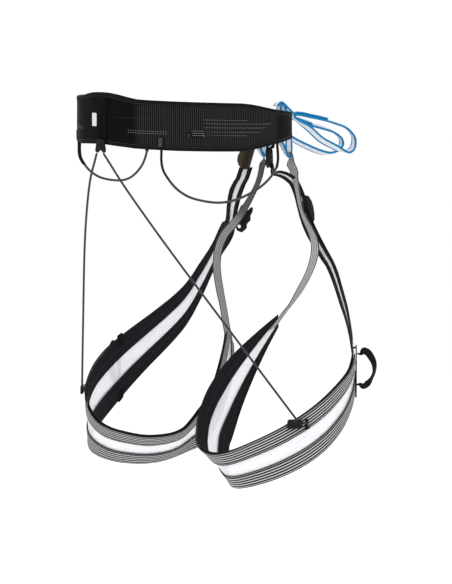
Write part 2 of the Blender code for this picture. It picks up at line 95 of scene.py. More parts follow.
def rim_loops(node):
    """Closed lines along the middle of a thin sheet's rim, longest first."""
    places, faces = node_places(node)
    sides = {}
    for face in faces:
        for a, b in zip(face, face[1:] + face[:1]):
            sides[(min(a, b), max(a, b))] = np.linalg.norm(places[a] - places[b])
    # the sheet's thickness is the shortest length that many of its edges share
    lengths, counts = np.unique(np.round(np.array(list(sides.values())) / SAME_PLACE), return_counts=True)
    thick = lengths[counts > 0.07 * len(sides)].min() * SAME_PLACE
    partner = {}
    for (a, b), length in sides.items():
        if abs(length - thick) < 3 * SAME_PLACE:
            partner[a], partner[b] = b, a
    near = {}
    for face in faces:
        pairs = {min(corner, partner[corner]) for corner in face if corner in partner}
        if len(pairs) == 2 and any(partner.get(corner) in face for corner in face):
            a, b = pairs
            near.setdefault(a, set()).add(b)
            near.setdefault(b, set()).add(a)
    loops, left = [], set(near)
    while left:
        line = [min(left, key=lambda n: (len(near[n] & left), n))]
        while True:
            onward = [n for n in sorted(near[line[-1]]) if n in left and n not in line]
            if not onward:
                break
            line.append(onward[0])
        left -= set(line)
        loops.append(np.array([(places[k] + places[partner[k]]) / 2 for k in line]))
    return sorted(loops, key=len, reverse=True)


def long_sides(node, near):
    """The two long sides of an open tape, paired and starting at the end nearest a place."""
    loop = rim_loops(node)[0]
    size = len(loop)
    best = None
    for ends in ((0, 0), (1, 1), (0, 1), (1, 0)):
        if (size - sum(ends)) % 2:
            continue
        step = np.arange((size - sum(ends)) // 2)
        for k in range(size):
            pair = loop[(k - step) % size], loop[(k + 1 + ends[0] + step) % size]
            cost = np.linalg.norm(pair[0] - pair[1], axis=1).mean()
            if best is None or cost < best[0]:
                best = (cost, pair)
    side_a, side_b = best[1]
    if np.linalg.norm(side_a[0] - near) > np.linalg.norm(side_a[-1] - near):
        return side_a[::-1], side_b[::-1]
    return side_a, side_b


def ring_sides(node, near):
    """The two edges of a closed tape ring, paired, starting at the place nearest a point."""
    second, first = rim_loops(node)[:2]
    first = np.roll(first, -int(np.argmin(np.linalg.norm(first - near, axis=1))), axis=0)
    pick = [int(np.argmin(np.linalg.norm(second - place, axis=1))) for place in first]
    return first, second[pick]


def tube_line(node, order):
    """Centre line of a six-sided tube; order gives each corner a rising value along it."""
    places, _ = node_places(node)
    places = places[np.argsort([order(p) for p in places])]
    return places.reshape(-1, 6, 3).mean(1)


def box_middle(node):
    low, high = (np.array(corner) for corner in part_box(node))
    return (low + high) / 2


# Curves through points

def smooth(rows, at):
    """Rows read at fractional indices, with smooth slopes."""
    rows = np.asarray(rows, dtype=float)
    at = np.atleast_1d(np.asarray(at, dtype=float))
    low = np.clip(at.astype(int), 0, len(rows) - 2)
    part = (at - low).reshape(-1, *([1] * (rows.ndim - 1)))
    slope = np.gradient(rows, axis=0)
    a, b, da, db = rows[low], rows[low + 1], slope[low], slope[low + 1]
    return ((1 + 2 * part) * (1 - part) ** 2 * a + part * (1 - part) ** 2 * da
            + part ** 2 * (3 - 2 * part) * b + part ** 2 * (part - 1) * db)


def refine(rows, count, closed=False):
    """The same line with more points."""
    if closed:
        padded = np.concatenate([rows[-3:], rows, rows[:3]])
        return smooth(padded, 3 + np.arange(count) * len(rows) / count)
    return smooth(rows, np.linspace(0, len(rows) - 1, count))


def run_length(line, closed=False):
    """Distance along a line at each of its points, with the full length last if it is closed."""
    steps = np.linalg.norm(np.diff(line, axis=0), axis=1)
    if closed:
        steps = np.append(steps, np.linalg.norm(line[0] - line[-1]))
    return np.concatenate([[0], np.cumsum(steps)])


def read_line(wanted, at, line):
    """Places on a line at the wanted distances along it."""
    return np.stack([np.interp(wanted, at, line[:, k]) for k in range(line.shape[1])], axis=-1)


def unit(vectors):
    vectors = np.asarray(vectors, dtype=float)
    return vectors / np.maximum(np.linalg.norm(vectors, axis=-1, keepdims=True), 1e-12)


def slope_along(line, closed=False):
    if closed:
        return unit(np.roll(line, -1, axis=0) - np.roll(line, 1, axis=0))
    return unit(np.gradient(line, axis=0))


def lengthened(line, before, after):
    """The same line carried on straight past both ends."""
    first, last = unit(line[0] - line[1]), unit(line[-1] - line[-2])
    return np.concatenate([[line[0] + first * before * MM], line, [line[-1] + last * after * MM]])


def dome(share):
    """Height of a quarter circle at a share of its width."""
    return np.sqrt(np.clip(1 - (1 - np.clip(share, 0, 1)) ** 2, 0, 1))


def corner_drop(from_end, corner):
    """How far a rounded corner lies under a straight edge, at distances from the edge's end."""
    short = np.clip(corner - from_end, 0, corner)
    return corner - np.sqrt(np.maximum(corner ** 2 - short ** 2, 0))


# Unevenness of sewn cloth: wavelength in millimetres, shift for each seed, and share
WAVES = ((23.0, 1.0, 1.0), (11.3, 2.1, 0.6), (5.7, 3.7, 0.35))


def wobble(line, side):
    """Slow unevenness of a band, at each point of a line along it."""
    at, seed = run_length(line) / MM, 1.0 + side
    total = sum(share * np.sin(at / wave + shift * seed) for wave, shift, share in WAVES)
    return 0.35 * MM * total / sum(share for _, _, share in WAVES)


def normals_of(side_a, side_b, outward=None, closed=False):
    """Unit normals along a tape, on the side of a direction, or else away from its own middle."""
    centre = (side_a + side_b) / 2
    normal = unit(np.cross(unit(side_b - side_a), slope_along(centre, closed)))
    toward = centre - centre.mean(0) if outward is None else np.asarray(outward)
    return normal if (normal * toward).sum(1).mean() > 0 else -normal


def turned(side_a, side_b, degrees, closed=False):
    """Both sides of a tape turned about its middle line, by angles spaced evenly along it."""
    centre, half = (side_a + side_b) / 2, (side_b - side_a) / 2
    along = slope_along(centre, closed)
    spread = np.linspace(0, 1, len(centre))
    angle = np.radians(np.interp(spread, np.linspace(0, 1, len(degrees)), degrees))
    cos, sin = np.cos(angle)[:, None], np.sin(angle)[:, None]
    half = (half * cos + np.cross(along, half) * sin
            + along * (along * half).sum(1)[:, None] * (1 - cos))
    return centre - half, centre + half


def tape_row(side_a, side_b, share, out, closed=False):
    """A line along a tape at a share of its width, a step in millimetres off it, with its normals."""
    normal = normals_of(side_a, side_b, closed=closed)
    return side_a + (side_b - side_a) * share + normal * out * MM, normal


# Mesh builders

def add_object(name, data, material=None):
    """An object in the scene; one with a material is shaded smooth."""
    if material:
        data.materials.append(material)
        data.shade_smooth()
    piece = bpy.data.objects.new(name, data)
    bpy.context.scene.collection.objects.link(piece)
    return piece


def clean(mesh, merge=0.0, collapse=0.0):
    """Faces turned outward, once corners nearer than merge and edges under collapse are joined."""
    work = bmesh.new()
    work.from_mesh(mesh)
    if merge:
        bmesh.ops.remove_doubles(work, verts=work.verts[:], dist=merge)
    if collapse:
        bmesh.ops.dissolve_degenerate(work, edges=work.edges[:], dist=collapse)
    bmesh.ops.recalc_face_normals(work, faces=work.faces[:])
    work.to_mesh(mesh)
    work.free()


def add_mesh(name, verts, faces, strip, material, **cleaning):
    """An object from its faces; strip holds each face corner's distance along and share across."""
    mesh = bpy.data.meshes.new(name)
    mesh.from_pydata([list(v) for v in verts], [], faces)
    if strip:
        layer = mesh.uv_layers.new(name="strip")
        layer.data.foreach_set("uv", np.array(strip, dtype=np.float32).ravel())
    clean(mesh, **cleaning)
    return add_object(name, mesh, material)


def grid_shell(name, front, back, at_u, at_v, material, closed=False):
    """Closed shell from a front and a back grid that meet along the rim; rows across, columns along."""
    rows, cols = front.shape[:2]
    faces, strip = [], []
    for base, way in ((0, 1), (rows * cols, -1)):
        for r in range(rows - 1):
            for c in range(cols if closed else cols - 1):
                d = (c + 1) % cols
                quad = [base + r * cols + c, base + (r + 1) * cols + c,
                        base + (r + 1) * cols + d, base + r * cols + d]
                spots = [(at_u[c], at_v[r]), (at_u[c], at_v[r + 1]),
                         (at_u[c + 1], at_v[r + 1]), (at_u[c + 1], at_v[r])]
                faces.append(quad[::way])
                strip.append(spots[::way])
    verts = np.concatenate([front.reshape(-1, 3), back.reshape(-1, 3)])
    return add_mesh(name, verts, faces, strip, material, merge=1e-7, collapse=1e-8)


def edge_shares(width, thick, inner):
    """Places across a tape, close together at its rounded edges."""
    edge = min(0.5 * thick / width, 0.2)
    near = [0, 0.08 * edge, 0.3 * edge, 0.65 * edge, edge]
    middle = np.linspace(edge, 1 - edge, inner + 2)[1:-1]
    return np.array(near + list(middle) + [1 - x for x in near[::-1]])


def tape(name, side_a, side_b, thick, material, closed=False, inner=5, lift=0.0, bulge=0.0,
         outward=None, relief=None):
    """Tape between two edge lines, with rounded edges and cut ends.

    lift moves it off its line in metres, for the whole tape or for each column, bulge crowns its front
    between the edges, and relief adds front height from (u, share) grids.
    """
    thick *= MM
    centre = (side_a + side_b) / 2
    width = np.linalg.norm(side_a - side_b, axis=1).mean()
    shares = edge_shares(width, thick, inner)
    grid = side_a[None] + (side_b - side_a)[None] * shares[:, None, None]
    normal = normals_of(side_a, side_b, outward, closed)
    at_u = run_length(centre, closed)
    profile = dome(np.minimum(shares, 1 - shares) * width / (thick / 2))[:, None]
    half = np.repeat(profile * thick / 2, grid.shape[1], axis=1)
    extra = bulge * MM * (1 - (2 * shares - 1) ** 2)[:, None]
    if relief is not None:
        extra = extra + relief(at_u[:grid.shape[1]][None], shares[:, None]) * (profile > 0.5)
    if not closed:
        taper = dome(np.minimum(at_u, at_u[-1] - at_u) / (0.2 * thick))[None]
        half, extra = half * taper, extra * taper
        at_u = np.append(at_u, at_u[-1])
    front = grid + normal[None] * (lift + half + extra)[..., None]
    back = grid + normal[None] * (lift - half)[..., None]
    return grid_shell(name, front, back, at_u, shares, material, closed)


def with_ends(side_a, side_b, count, thick):
    """Both edges of an open tape resampled by length, with columns close to its cut ends."""
    fine = refine(side_a, 600), refine(side_b, 600)
    at = run_length((fine[0] + fine[1]) / 2)
    near = np.array([0, 0.06, 0.2, 0.45]) * thick * MM
    middle = np.linspace(0.6 * thick * MM, at[-1] - 0.6 * thick * MM, count)
    wanted = np.concatenate([near, middle, at[-1] - near[::-1]])
    return [read_line(wanted, at, side) for side in fine]


def cut_tape(name, side_a, side_b, count, thick, material, **options):
    """An open tape resampled to a number of columns."""
    return tape(name, *with_ends(side_a, side_b, count, thick), thick, material, **options)


def sweep(name, centres, axes, section, material, at_u, closed=True, scale=None):
    """Sweep of a closed section, given as places along two axes; an open sweep has flat ends."""
    count, sides = len(centres), len(section)
    section = np.array(section)
    scale = np.ones(count) if scale is None else scale
    verts = (centres[:, None] + scale[:, None, None]
             * (axes[0][:, None] * section[None, :, :1] + axes[1][:, None] * section[None, :, 1:]))
    edge = run_length(section, closed=True)
    edge = edge / edge[-1]
    faces, strip = [], []
    for r in range(count if closed else count - 1):
        t = (r + 1) % count
        for s in range(sides):
            n = (s + 1) % sides
            faces.append([r * sides + s, r * sides + n, t * sides + n, t * sides + s])
            strip += [(at_u[r], edge[s]), (at_u[r], edge[s + 1]),
                      (at_u[r + 1], edge[s + 1]), (at_u[r + 1], edge[s])]
    if not closed:
        faces += [list(range(sides))[::-1], list(range((count - 1) * sides, count * sides))]
        strip += [(at, k / sides) for at in (0, at_u[-1]) for k in range(sides)]
    return add_mesh(name, verts.reshape(-1, 3), faces, strip, material)


def cord(name, line, radius, material, samples):
    """Round cord through points, with domed ends."""
    line = refine(np.asarray(line, dtype=float), samples)
    along = slope_along(line)
    side = unit(np.cross(along, (0.31, 0.17, 0.93)))
    for k in range(1, len(side)):
        side[k] = unit(side[k - 1] - along[k] * (side[k - 1] @ along[k]))
    at = run_length(line)
    from_end = np.minimum(at, at[-1] - at) / (radius * MM)
    turn = np.linspace(0, 2 * math.pi, 10, endpoint=False)
    return sweep(name, line, (side, np.cross(along, side)), np.stack([np.cos(turn), np.sin(turn)], axis=1),
                 material, at, closed=False, scale=radius * MM * dome(np.maximum(from_end, 0.02)))


# Length, pitch and radius of the thread dashes of each kind of stitch, in millimetres
STITCH = {"edge": (2.1, 3.0, 0.24), "cover": (2.0, 3.1, 0.3), "seam": (1.5, 3.4, 0.24),
          "bar": (1.9, 2.0, 0.32), "sling": (5.2, 5.6, 0.28), "gear": (5.4, 5.6, 0.26),
          "band": (1.8, 2.9, 0.22), "tab": (1.6, 2.2, 0.25)}
# Rings of a thread dash: place along it and size, as shares of its length and radius
DASH_RINGS = ((-0.38, 0.75), (0.0, 1.0), (0.38, 0.75))
DASH_SIDES = 6


def stitches(name, lines, kind, material):
    """Rows of thread dashes; lines holds (points, normals) pairs lying on a surface."""
    length, pitch, radius = (size * MM for size in STITCH[kind])
    verts, faces = [], []
    around = [(math.cos(2 * math.pi * k / DASH_SIDES), math.sin(2 * math.pi * k / DASH_SIDES))
              for k in range(DASH_SIDES)]
    for points, normals in lines:
        at = run_length(points)
        for start in np.arange(pitch / 2, at[-1] - pitch / 4, pitch):
            behind, spot, ahead = read_line([start - length / 2, start, start + length / 2], at, points)
            up = unit(read_line([start], at, normals)[0])
            along = unit(ahead - behind)
            side = unit(np.cross(up, along))
            base = len(verts)
            for place, size in DASH_RINGS:
                middle = spot + along * place * length + up * radius * (size - 0.55)
                verts += [middle + radius * size * (side * cos + up * sin) for cos, sin in around]
            verts += [spot + along * half * length - up * radius * 0.6 for half in (-0.5, 0.5)]
            tail, tip = base + 3 * DASH_SIDES, base + 3 * DASH_SIDES + 1
            for low in (base, base + DASH_SIDES):
                for k in range(DASH_SIDES):
                    n = (k + 1) % DASH_SIDES
                    faces.append([low + k, low + n, low + DASH_SIDES + n, low + DASH_SIDES + k])
            last = base + 2 * DASH_SIDES
            for k in range(DASH_SIDES):
                n = (k + 1) % DASH_SIDES
                faces += [[tail, base + n, base + k], [tip, last + k, last + n]]
    return add_mesh(name, verts, faces, None, material)


def moulding(name, outlines, thick, edge, pose, material):
    """Moulded piece in millimetres (the first outline is the outside, the rest are holes) at a pose.

    A pose is a place, the direction of the piece's face and its up direction.
    """
    place, face, up = pose
    face = Vector(face).normalized()
    up = (Vector(up) - face * Vector(up).dot(face)).normalized()
    curve = bpy.data.curves.new(name, "CURVE")
    curve.dimensions = "2D"
    curve.fill_mode = "BOTH"
    curve.extrude = (thick / 2 - edge) * MM
    curve.bevel_depth = edge * MM
    curve.offset = -edge * MM
    curve.bevel_resolution = 3
    for outline in outlines:
        spline = curve.splines.new("POLY")
        spline.points.add(len(outline) - 1)
        spline.use_cyclic_u = True
        for knot, (x, y) in zip(spline.points, outline):
            knot.co = (x * MM, y * MM, 0, 1)
    guide = add_object(name + "_outline", curve)
    mesh = bpy.data.meshes.new_from_object(guide.evaluated_get(bpy.context.evaluated_depsgraph_get()))
    bpy.data.objects.remove(guide)
    clean(mesh, merge=1e-6)
    turn = Matrix((up.cross(face), up, face)).transposed().to_4x4()
    mesh.transform(Matrix.Translation(Vector(place)) @ turn)
    mesh.materials.clear()
    piece = add_object(name, mesh, material)
    mesh.set_sharp_from_angle(angle=math.radians(40))
    return piece


def rounded(width, height, corner, x=0, y=0, steps=5):
    """Outline of a rectangle with rounded corners about a middle."""
    outline = []
    for quarter, (sx, sy) in enumerate(((1, 1), (-1, 1), (-1, -1), (1, -1))):
        for k in range(steps + 1):
            turn = math.radians(90 * (quarter + k / steps))
            outline.append((x + sx * (width / 2 - corner) + corner * math.cos(turn),
                            y + sy * (height / 2 - corner) + corner * math.sin(turn)))
    return outline


def ring_hole(radius, x, y, steps=14):
    """Outline of a round hole."""
    return [(x + radius * math.cos(2 * math.pi * k / steps), y + radius * math.sin(2 * math.pi * k / steps))
            for k in range(steps)][::-1]


def join(name, pieces):
    """One object from several, each keeping its own material."""
    work, slots = bmesh.new(), []
    mesh = bpy.data.meshes.new(name)
    for piece in pieces:
        own = piece.data.materials[0]
        if own not in slots:
            slots.append(own)
        for face in piece.data.polygons:
            face.material_index = slots.index(own)
        work.from_mesh(piece.data)
        bpy.data.objects.remove(piece)
    work.to_mesh(mesh)
    work.free()
    for slot in slots:
        mesh.materials.append(slot)
    return add_object(name, mesh)


def ribbed_block(name, outlines, thick, edge, bars, bar_thick, bar_edge, pose, material):
    """A moulded body with raised bars, each given as (width, height, corner, x, y)."""
    parts = [moulding("block", outlines, thick, edge, pose, material)]
    parts += [moulding("bar", [rounded(*bar)], bar_thick, bar_edge, pose, material) for bar in bars]
    return join(name, parts)


def apply_modifiers(piece):
    graph = bpy.context.evaluated_depsgraph_get()
    mesh = bpy.data.meshes.new_from_object(piece.evaluated_get(graph))
    piece.modifiers.clear()
    piece.data = mesh


def corners(piece):
    return np.array([v.co for v in piece.data.vertices])


SWELL_STEPS = 12


def puff(piece, shape, material, voxel, pressure, cap):
    """Swells a sewn pad with cloth pressure, keeps every point within a cap of where it was, and shapes it.

    The voxels of its even mesh and the cap are millimetres.
    """
    remesh = piece.modifiers.new("even", "REMESH")
    remesh.mode = "VOXEL"
    remesh.voxel_size = voxel * MM
    apply_modifiers(piece)
    places = corners(piece)
    cloth = piece.modifiers.new("swell", "CLOTH")
    for key, value in dict(quality=4, mass=0.1, tension_stiffness=12, compression_stiffness=12,
                           bending_stiffness=0.6, use_pressure=True,
                           uniform_pressure_force=pressure).items():
        setattr(cloth.settings, key, value)
    cloth.settings.effector_weights.gravity = 0
    cloth.collision_settings.use_collision = False
    cloth.point_cache.frame_start = 1
    cloth.point_cache.frame_end = SWELL_STEPS
    for step in range(1, SWELL_STEPS + 1):
        bpy.context.scene.frame_set(step)
    apply_modifiers(piece)
    bpy.context.scene.frame_set(1)
    moved = corners(piece) - places
    far = np.linalg.norm(moved, axis=1)
    places += moved * (np.minimum(far, cap * MM) / np.maximum(far, 1e-9))[:, None]
    piece.data.vertices.foreach_set("co", shape(places).astype(np.float32).ravel())
    piece.data.update()
    piece.data.shade_smooth()
    piece.data.materials.clear()
    piece.data.materials.append(material)
    return piece


# Materials

class Paint:
    """A procedural material: pattern nodes read the strip map, in millimetres along a piece."""

    def __init__(self, name, rough=0.8, sheen=0.0, specular=0.3):
        self.mat = bpy.data.materials.new(name)
        self.mat.use_nodes = True
        self.tree = self.mat.node_tree
        self.shader = self.tree.nodes["Principled BSDF"]
        self.set("Roughness", rough)
        self.set("Sheen Weight", sheen)
        self.set("Sheen Roughness", 0.5)
        self.set("Specular IOR Level", specular)

    def set(self, name, value):
        self.feed(self.shader.inputs[name], value)

    def feed(self, socket, value):
        if isinstance(value, bpy.types.NodeSocket):
            self.tree.links.new(value, socket)
        elif socket.type == "RGBA" and len(value) == 3:
            socket.default_value = (*value, 1)
        else:
            socket.default_value = value

    def node(self, kind, inputs=(), **settings):
        node = self.tree.nodes.new(kind)
        for key, value in settings.items():
            setattr(node, key, value)
        for key, value in dict(inputs).items():
            self.feed(node.inputs[key], value)
        return node

    def math(self, operation, a, b=0.0, c=0.0):
        return self.node("ShaderNodeMath", {0: a, 1: b, 2: c}, operation=operation).outputs[0]

    def times(self, a, b):
        return self.math("MULTIPLY", a, b)

    def scaled(self, a, factor, plus):
        return self.math("MULTIPLY_ADD", a, factor, plus)

    def less(self, a, b):
        return self.math("SUBTRACT", a, b)

    def strip(self):
        """Distance along in millimetres, and share of the width from 0 to 1."""
        place = self.node("ShaderNodeUVMap", uv_map="strip").outputs[0]
        split = self.node("ShaderNodeSeparateXYZ", {0: place})
        return self.times(split.outputs[0], 1000.0), split.outputs[1]

    def own_place(self):
        return self.node("ShaderNodeTexCoord").outputs["Object"]

    def to_edge(self, v):
        """Share of the width to the nearer edge."""
        return self.math("MINIMUM", v, self.less(1.0, v))

    def ridge(self, value, pitch, shift=0.0):
        """Smooth ridges from 0 to 1, one each pitch."""
        turn = self.scaled(value, 2 * math.pi / pitch, shift)
        return self.scaled(self.math("COSINE", turn), 0.5, 0.5)

    def step(self, value, edge, soft):
        ramp = self.node("ShaderNodeMapRange", {"Value": value, "From Min": edge - soft,
                                                "From Max": edge + soft})
        ramp.interpolation_type = "SMOOTHSTEP"
        return ramp.outputs[0]

    def under(self, value, edge, soft):
        return self.less(1.0, self.step(value, edge, soft))

    def noise(self, scale, detail=3.0):
        return self.node("ShaderNodeTexNoise", {"Vector": self.own_place(), "Scale": scale,
                                                "Detail": detail, "Roughness": 0.55}).outputs["Fac"]

    def mix(self, share, a, b):
        node = self.node("ShaderNodeMix", {0: share}, data_type="RGBA")
        self.feed(node.inputs[6], a)
        self.feed(node.inputs[7], b)
        return node.outputs[2]

    def faint(self, pattern, strength, a, b):
        """Mixes b into a, as far as a pattern shows, up to a strength."""
        return self.mix(self.times(pattern, strength), a, b)

    def blend(self, share, a, b):
        return self.node("ShaderNodeMix", {0: share, 2: a, 3: b}, data_type="FLOAT").outputs[0]

    def done(self, tint, height, depth):
        """The material with a colour and a bump whose depth is in millimetres."""
        self.set("Base Color", tint)
        node = self.node("ShaderNodeBump", {"Height": height, "Distance": depth * MM, "Strength": 1.0})
        self.set("Normal", node.outputs[0])
        return self.mat


def woven_black(name, rib, cross, dark, light, width=20.0, twill=0.0, ribbed=None):
    """Black cloth with ribs across its length and fine threads over them; their crests take the light colour
    as a painted highlight.

    ribbed keeps the ribs to a zone on each side: the middle, and where the zone starts and stops.
    """
    paint = Paint(name, rough=0.62, specular=0.03)
    u, v = paint.strip()
    across = paint.times(v, width)
    ribs = paint.math("POWER", paint.ridge(paint.scaled(across, twill, u), rib), 2.5 if ribbed else 1.0)
    threads = paint.ridge(paint.scaled(u, 0.5 * cross / rib, across), cross)
    height = paint.scaled(paint.times(ribs, threads), 0.45, paint.times(ribs, 0.55))
    if ribbed:
        middle, start, stop = ribbed
        far = paint.math("ABSOLUTE", paint.less(u, middle))
        zone = paint.less(paint.step(far, start, 6.0), paint.step(far, stop, 6.0))
        plain = paint.times(paint.ridge(u, 0.9), paint.ridge(across, 0.9))
        height = paint.blend(zone, paint.times(plain, 0.15), height)
    worn = paint.noise(55.0, 4.0)
    paint.set("Roughness", paint.blend(worn, 0.55, 0.8))
    # the rib and thread crests are painted in the light colour, a painted highlight; worn adds a faint random
    # tone
    return paint.done(paint.faint(worn, 0.03, paint.mix(height, dark, light), light), height, 0.35)


def striped_tape():
    """Grey tape with fine black lines running along it and a black edge on both sides."""
    paint = Paint("striped_tape", rough=0.7, sheen=0.05, specular=0.15)
    u, v = paint.strip()
    lines = paint.step(paint.ridge(v, 0.168, math.pi * 0.1), 0.3, 0.14)
    dark = paint.math("MAXIMUM", lines, paint.under(paint.to_edge(v), 0.075, 0.015))
    hatch = paint.ridge(paint.scaled(v, 14.0, u), 1.5)
    grey = paint.mix(hatch, (0.3, 0.3, 0.305), (0.7, 0.7, 0.71))
    grey = paint.faint(paint.noise(70.0), 0.3, grey, (0.36, 0.355, 0.34))
    black = paint.mix(hatch, (0.003, 0.003, 0.004), (0.012, 0.012, 0.013))
    height = paint.blend(dark, paint.scaled(hatch, 0.5, 0.5), paint.times(hatch, 0.4))
    return paint.done(paint.mix(dark, grey, black), height, 0.25)


def white_mesh():
    """Thin white net of lengthwise threads; what is behind it shows through faintly."""
    paint = Paint("white_mesh", rough=0.6, sheen=0.1, specular=0.2)
    u, v = paint.strip()
    across = paint.times(v, 26.0)
    weft = paint.ridge(paint.scaled(across, 0.6, u), 1.7)
    threads = paint.math("MAXIMUM", paint.ridge(across, 1.15), paint.times(weft, 0.7))
    place = paint.node("ShaderNodeCombineXYZ", {0: paint.times(u, 0.012), 1: across}).outputs[0]
    streak = paint.node("ShaderNodeTexNoise", {"Vector": place, "Scale": 1.4, "Detail": 4.0}).outputs["Fac"]
    tint = paint.mix(threads, (0.66, 0.66, 0.71), (0.93, 0.93, 0.95))
    tint = paint.faint(paint.noise(120.0), 0.25, tint, (0.72, 0.71, 0.75))
    tint = paint.faint(paint.step(streak, 0.6, 0.07), 0.5, tint, (0.5, 0.5, 0.54))
    paint.set("Alpha", paint.blend(threads, 0.4, 0.76))
    return paint.done(tint, threads, 0.2)


def grey_webbing(name, shade_to, low, high):
    """Light grey webbing with dark lengthwise lines, dark edges and pale flecks, and painted shade up to a
    distance along it.
    """
    paint = Paint(name, rough=0.7, sheen=0.02, specular=0.12)
    u, v = paint.strip()
    lines = paint.step(paint.ridge(v, 0.2, math.pi), 0.7, 0.2)
    across = paint.times(v, 11.0)
    fleck = paint.times(*(paint.ridge(paint.scaled(across, slant, u), 2.1) for slant in (1.4, -1.4)))
    tint = paint.faint(lines, 0.8, paint.mix(fleck, (low,) * 3, (high,) * 3), (0.02, 0.02, 0.022))
    tint = paint.faint(paint.under(paint.to_edge(v), 0.09, 0.03), 0.95, tint, (0.012, 0.012, 0.013))
    tint = paint.faint(paint.noise(60.0), 0.15, tint, (0.3, 0.3, 0.3))
    # painted shade over the webbing's first stretch from its top end
    tint = paint.faint(paint.under(u, shade_to, 12.0), 0.75, tint, (0.045, 0.043, 0.05))
    return paint.done(tint, paint.scaled(fleck, 0.6, paint.times(lines, -0.3)), 0.25)


def sling_tape():
    """White sling tape with bright blue edges and blue flecks between."""
    paint = Paint("sling_tape", rough=0.6, sheen=0.03, specular=0.12)
    u, v = paint.strip()
    edge = paint.to_edge(v)
    blue = paint.under(edge, 0.24, 0.02)
    across = paint.times(v, 9.0)
    twill, back_twill = (paint.ridge(paint.scaled(across, slant, u), 1.3) for slant in (1.0, -1.0))
    fleck = paint.times(paint.ridge(u, 3.4), paint.step(paint.ridge(across, 1.8), 0.8, 0.1))
    fleck = paint.times(fleck, paint.step(edge, 0.25, 0.03))
    white = paint.mix(twill, (0.5, 0.53, 0.56), (0.76, 0.78, 0.79))
    white = paint.faint(fleck, 0.3, white, (0.25, 0.5, 0.72))
    shade = paint.mix(back_twill, (0.0, 0.08, 0.24), (0.0, 0.2, 0.46))
    shade = paint.faint(paint.noise(90.0), 0.3, shade, (0.0, 0.3, 0.55))
    height = paint.math("MAXIMUM", twill, paint.times(back_twill, blue))
    return paint.done(paint.mix(blue, white, shade), height, 0.18)


def spacer_lining():
    """Soft black lining: a net of small round holes over foam."""
    paint = Paint("belt_lining", rough=0.85, sheen=0.04, specular=0.08)
    cells = paint.node("ShaderNodeTexVoronoi", {"Vector": paint.own_place(), "Scale": 430.0,
                                                "Randomness": 0.35})
    rim = paint.step(cells.outputs["Distance"], 0.34, 0.12)
    tint = paint.mix(rim, (0.003, 0.003, 0.004), (0.02, 0.02, 0.023))
    return paint.done(paint.faint(paint.noise(40.0, 4.0), 0.3, tint, (0.03, 0.03, 0.034)), rim, 0.4)


def braided_cord(name, dark, light, turn=3.2):
    """Elastic cord under a fine braid."""
    paint = Paint(name, rough=0.6, sheen=0.03, specular=0.12)
    u, v = paint.strip()
    angle = paint.times(v, turn)
    braid = paint.math("MAXIMUM", *(paint.ridge(paint.math(way, u, angle), turn / 2)
                                    for way in ("ADD", "SUBTRACT")))
    return paint.done(paint.mix(braid, dark, light), braid, 0.2)


def plastic(name, dark, light, rough=0.42):
    """Moulded plastic with a fine grain, painted paler along its sharp edges as a painted highlight."""
    paint = Paint(name, rough=rough, specular=0.12)
    worn = paint.noise(45.0, 5.0)
    # painted highlight along the sharp edges, found by pointiness
    edge_highlight = paint.step(paint.node("ShaderNodeNewGeometry").outputs["Pointiness"], 0.56, 0.06)
    paint.set("Roughness", paint.blend(worn, rough - 0.08, rough + 0.14))
    tint = paint.faint(edge_highlight, 0.35, paint.faint(worn, 0.5, dark, light), light)
    return paint.done(tint, paint.noise(900.0, 2.0), 0.05)


def thread(name, tint):
    paint = Paint(name, rough=0.6, sheen=0.05, specular=0.15)
    fibre = paint.noise(1500.0, 2.0)
    return paint.done(paint.mix(fibre, tint, tuple(c * 1.5 + 0.01 for c in tint)), fibre, 0.05)


def folded_cloth(name):
    """Black cloth for small sewn tabs, with a weave laid in the piece's own space."""
    paint = Paint(name, rough=0.65, specular=0.06)
    split = paint.node("ShaderNodeSeparateXYZ", {0: paint.own_place()})
    weave = paint.times(*(paint.ridge(split.outputs[k], 1.3 * MM) for k in (0, 2)))
    tint = paint.mix(weave, (0.003, 0.003, 0.004), (0.02, 0.02, 0.023))
    return paint.done(paint.faint(paint.noise(60.0, 4.0), 0.2, tint, (0.03, 0.03, 0.033)), weave, 0.2)


def badge_rubber():
    paint = Paint("plain_patch", rough=0.5)
    worn = paint.noise(300.0)
    return paint.done(paint.mix(worn, (0.5, 0.51, 0.56), (0.62, 0.63, 0.68)), worn, 0.08)


THREAD_BLACK = thread("thread_black", (0.03, 0.03, 0.033))
THREAD_GREY = thread("thread_grey", (0.13, 0.13, 0.135))
THREAD_DIM = thread("thread_dim", (0.035, 0.035, 0.04))
THREAD_BLUE = thread("thread_blue", (0.01, 0.17, 0.45))
WEBBING = woven_black("black_webbing", 1.5, 1.1, (0.003, 0.003, 0.004), (0.02, 0.02, 0.023), twill=0.8)
LEG_TAPE = woven_black("leg_tape", 1.7, 1.2, (0.005, 0.005, 0.006), (0.022, 0.023, 0.027), twill=0.9)
BINDING = woven_black("edge_tape", 1.1, 0.9, (0.002, 0.002, 0.003), (0.014, 0.014, 0.016), width=16.0)
LACING = {"left": woven_black("olive_webbing", 1.5, 1.1, (0.018, 0.013, 0.009), (0.06, 0.046, 0.034),
                              twill=0.8), "right": WEBBING}
STRIPED = striped_tape()
NET = white_mesh()
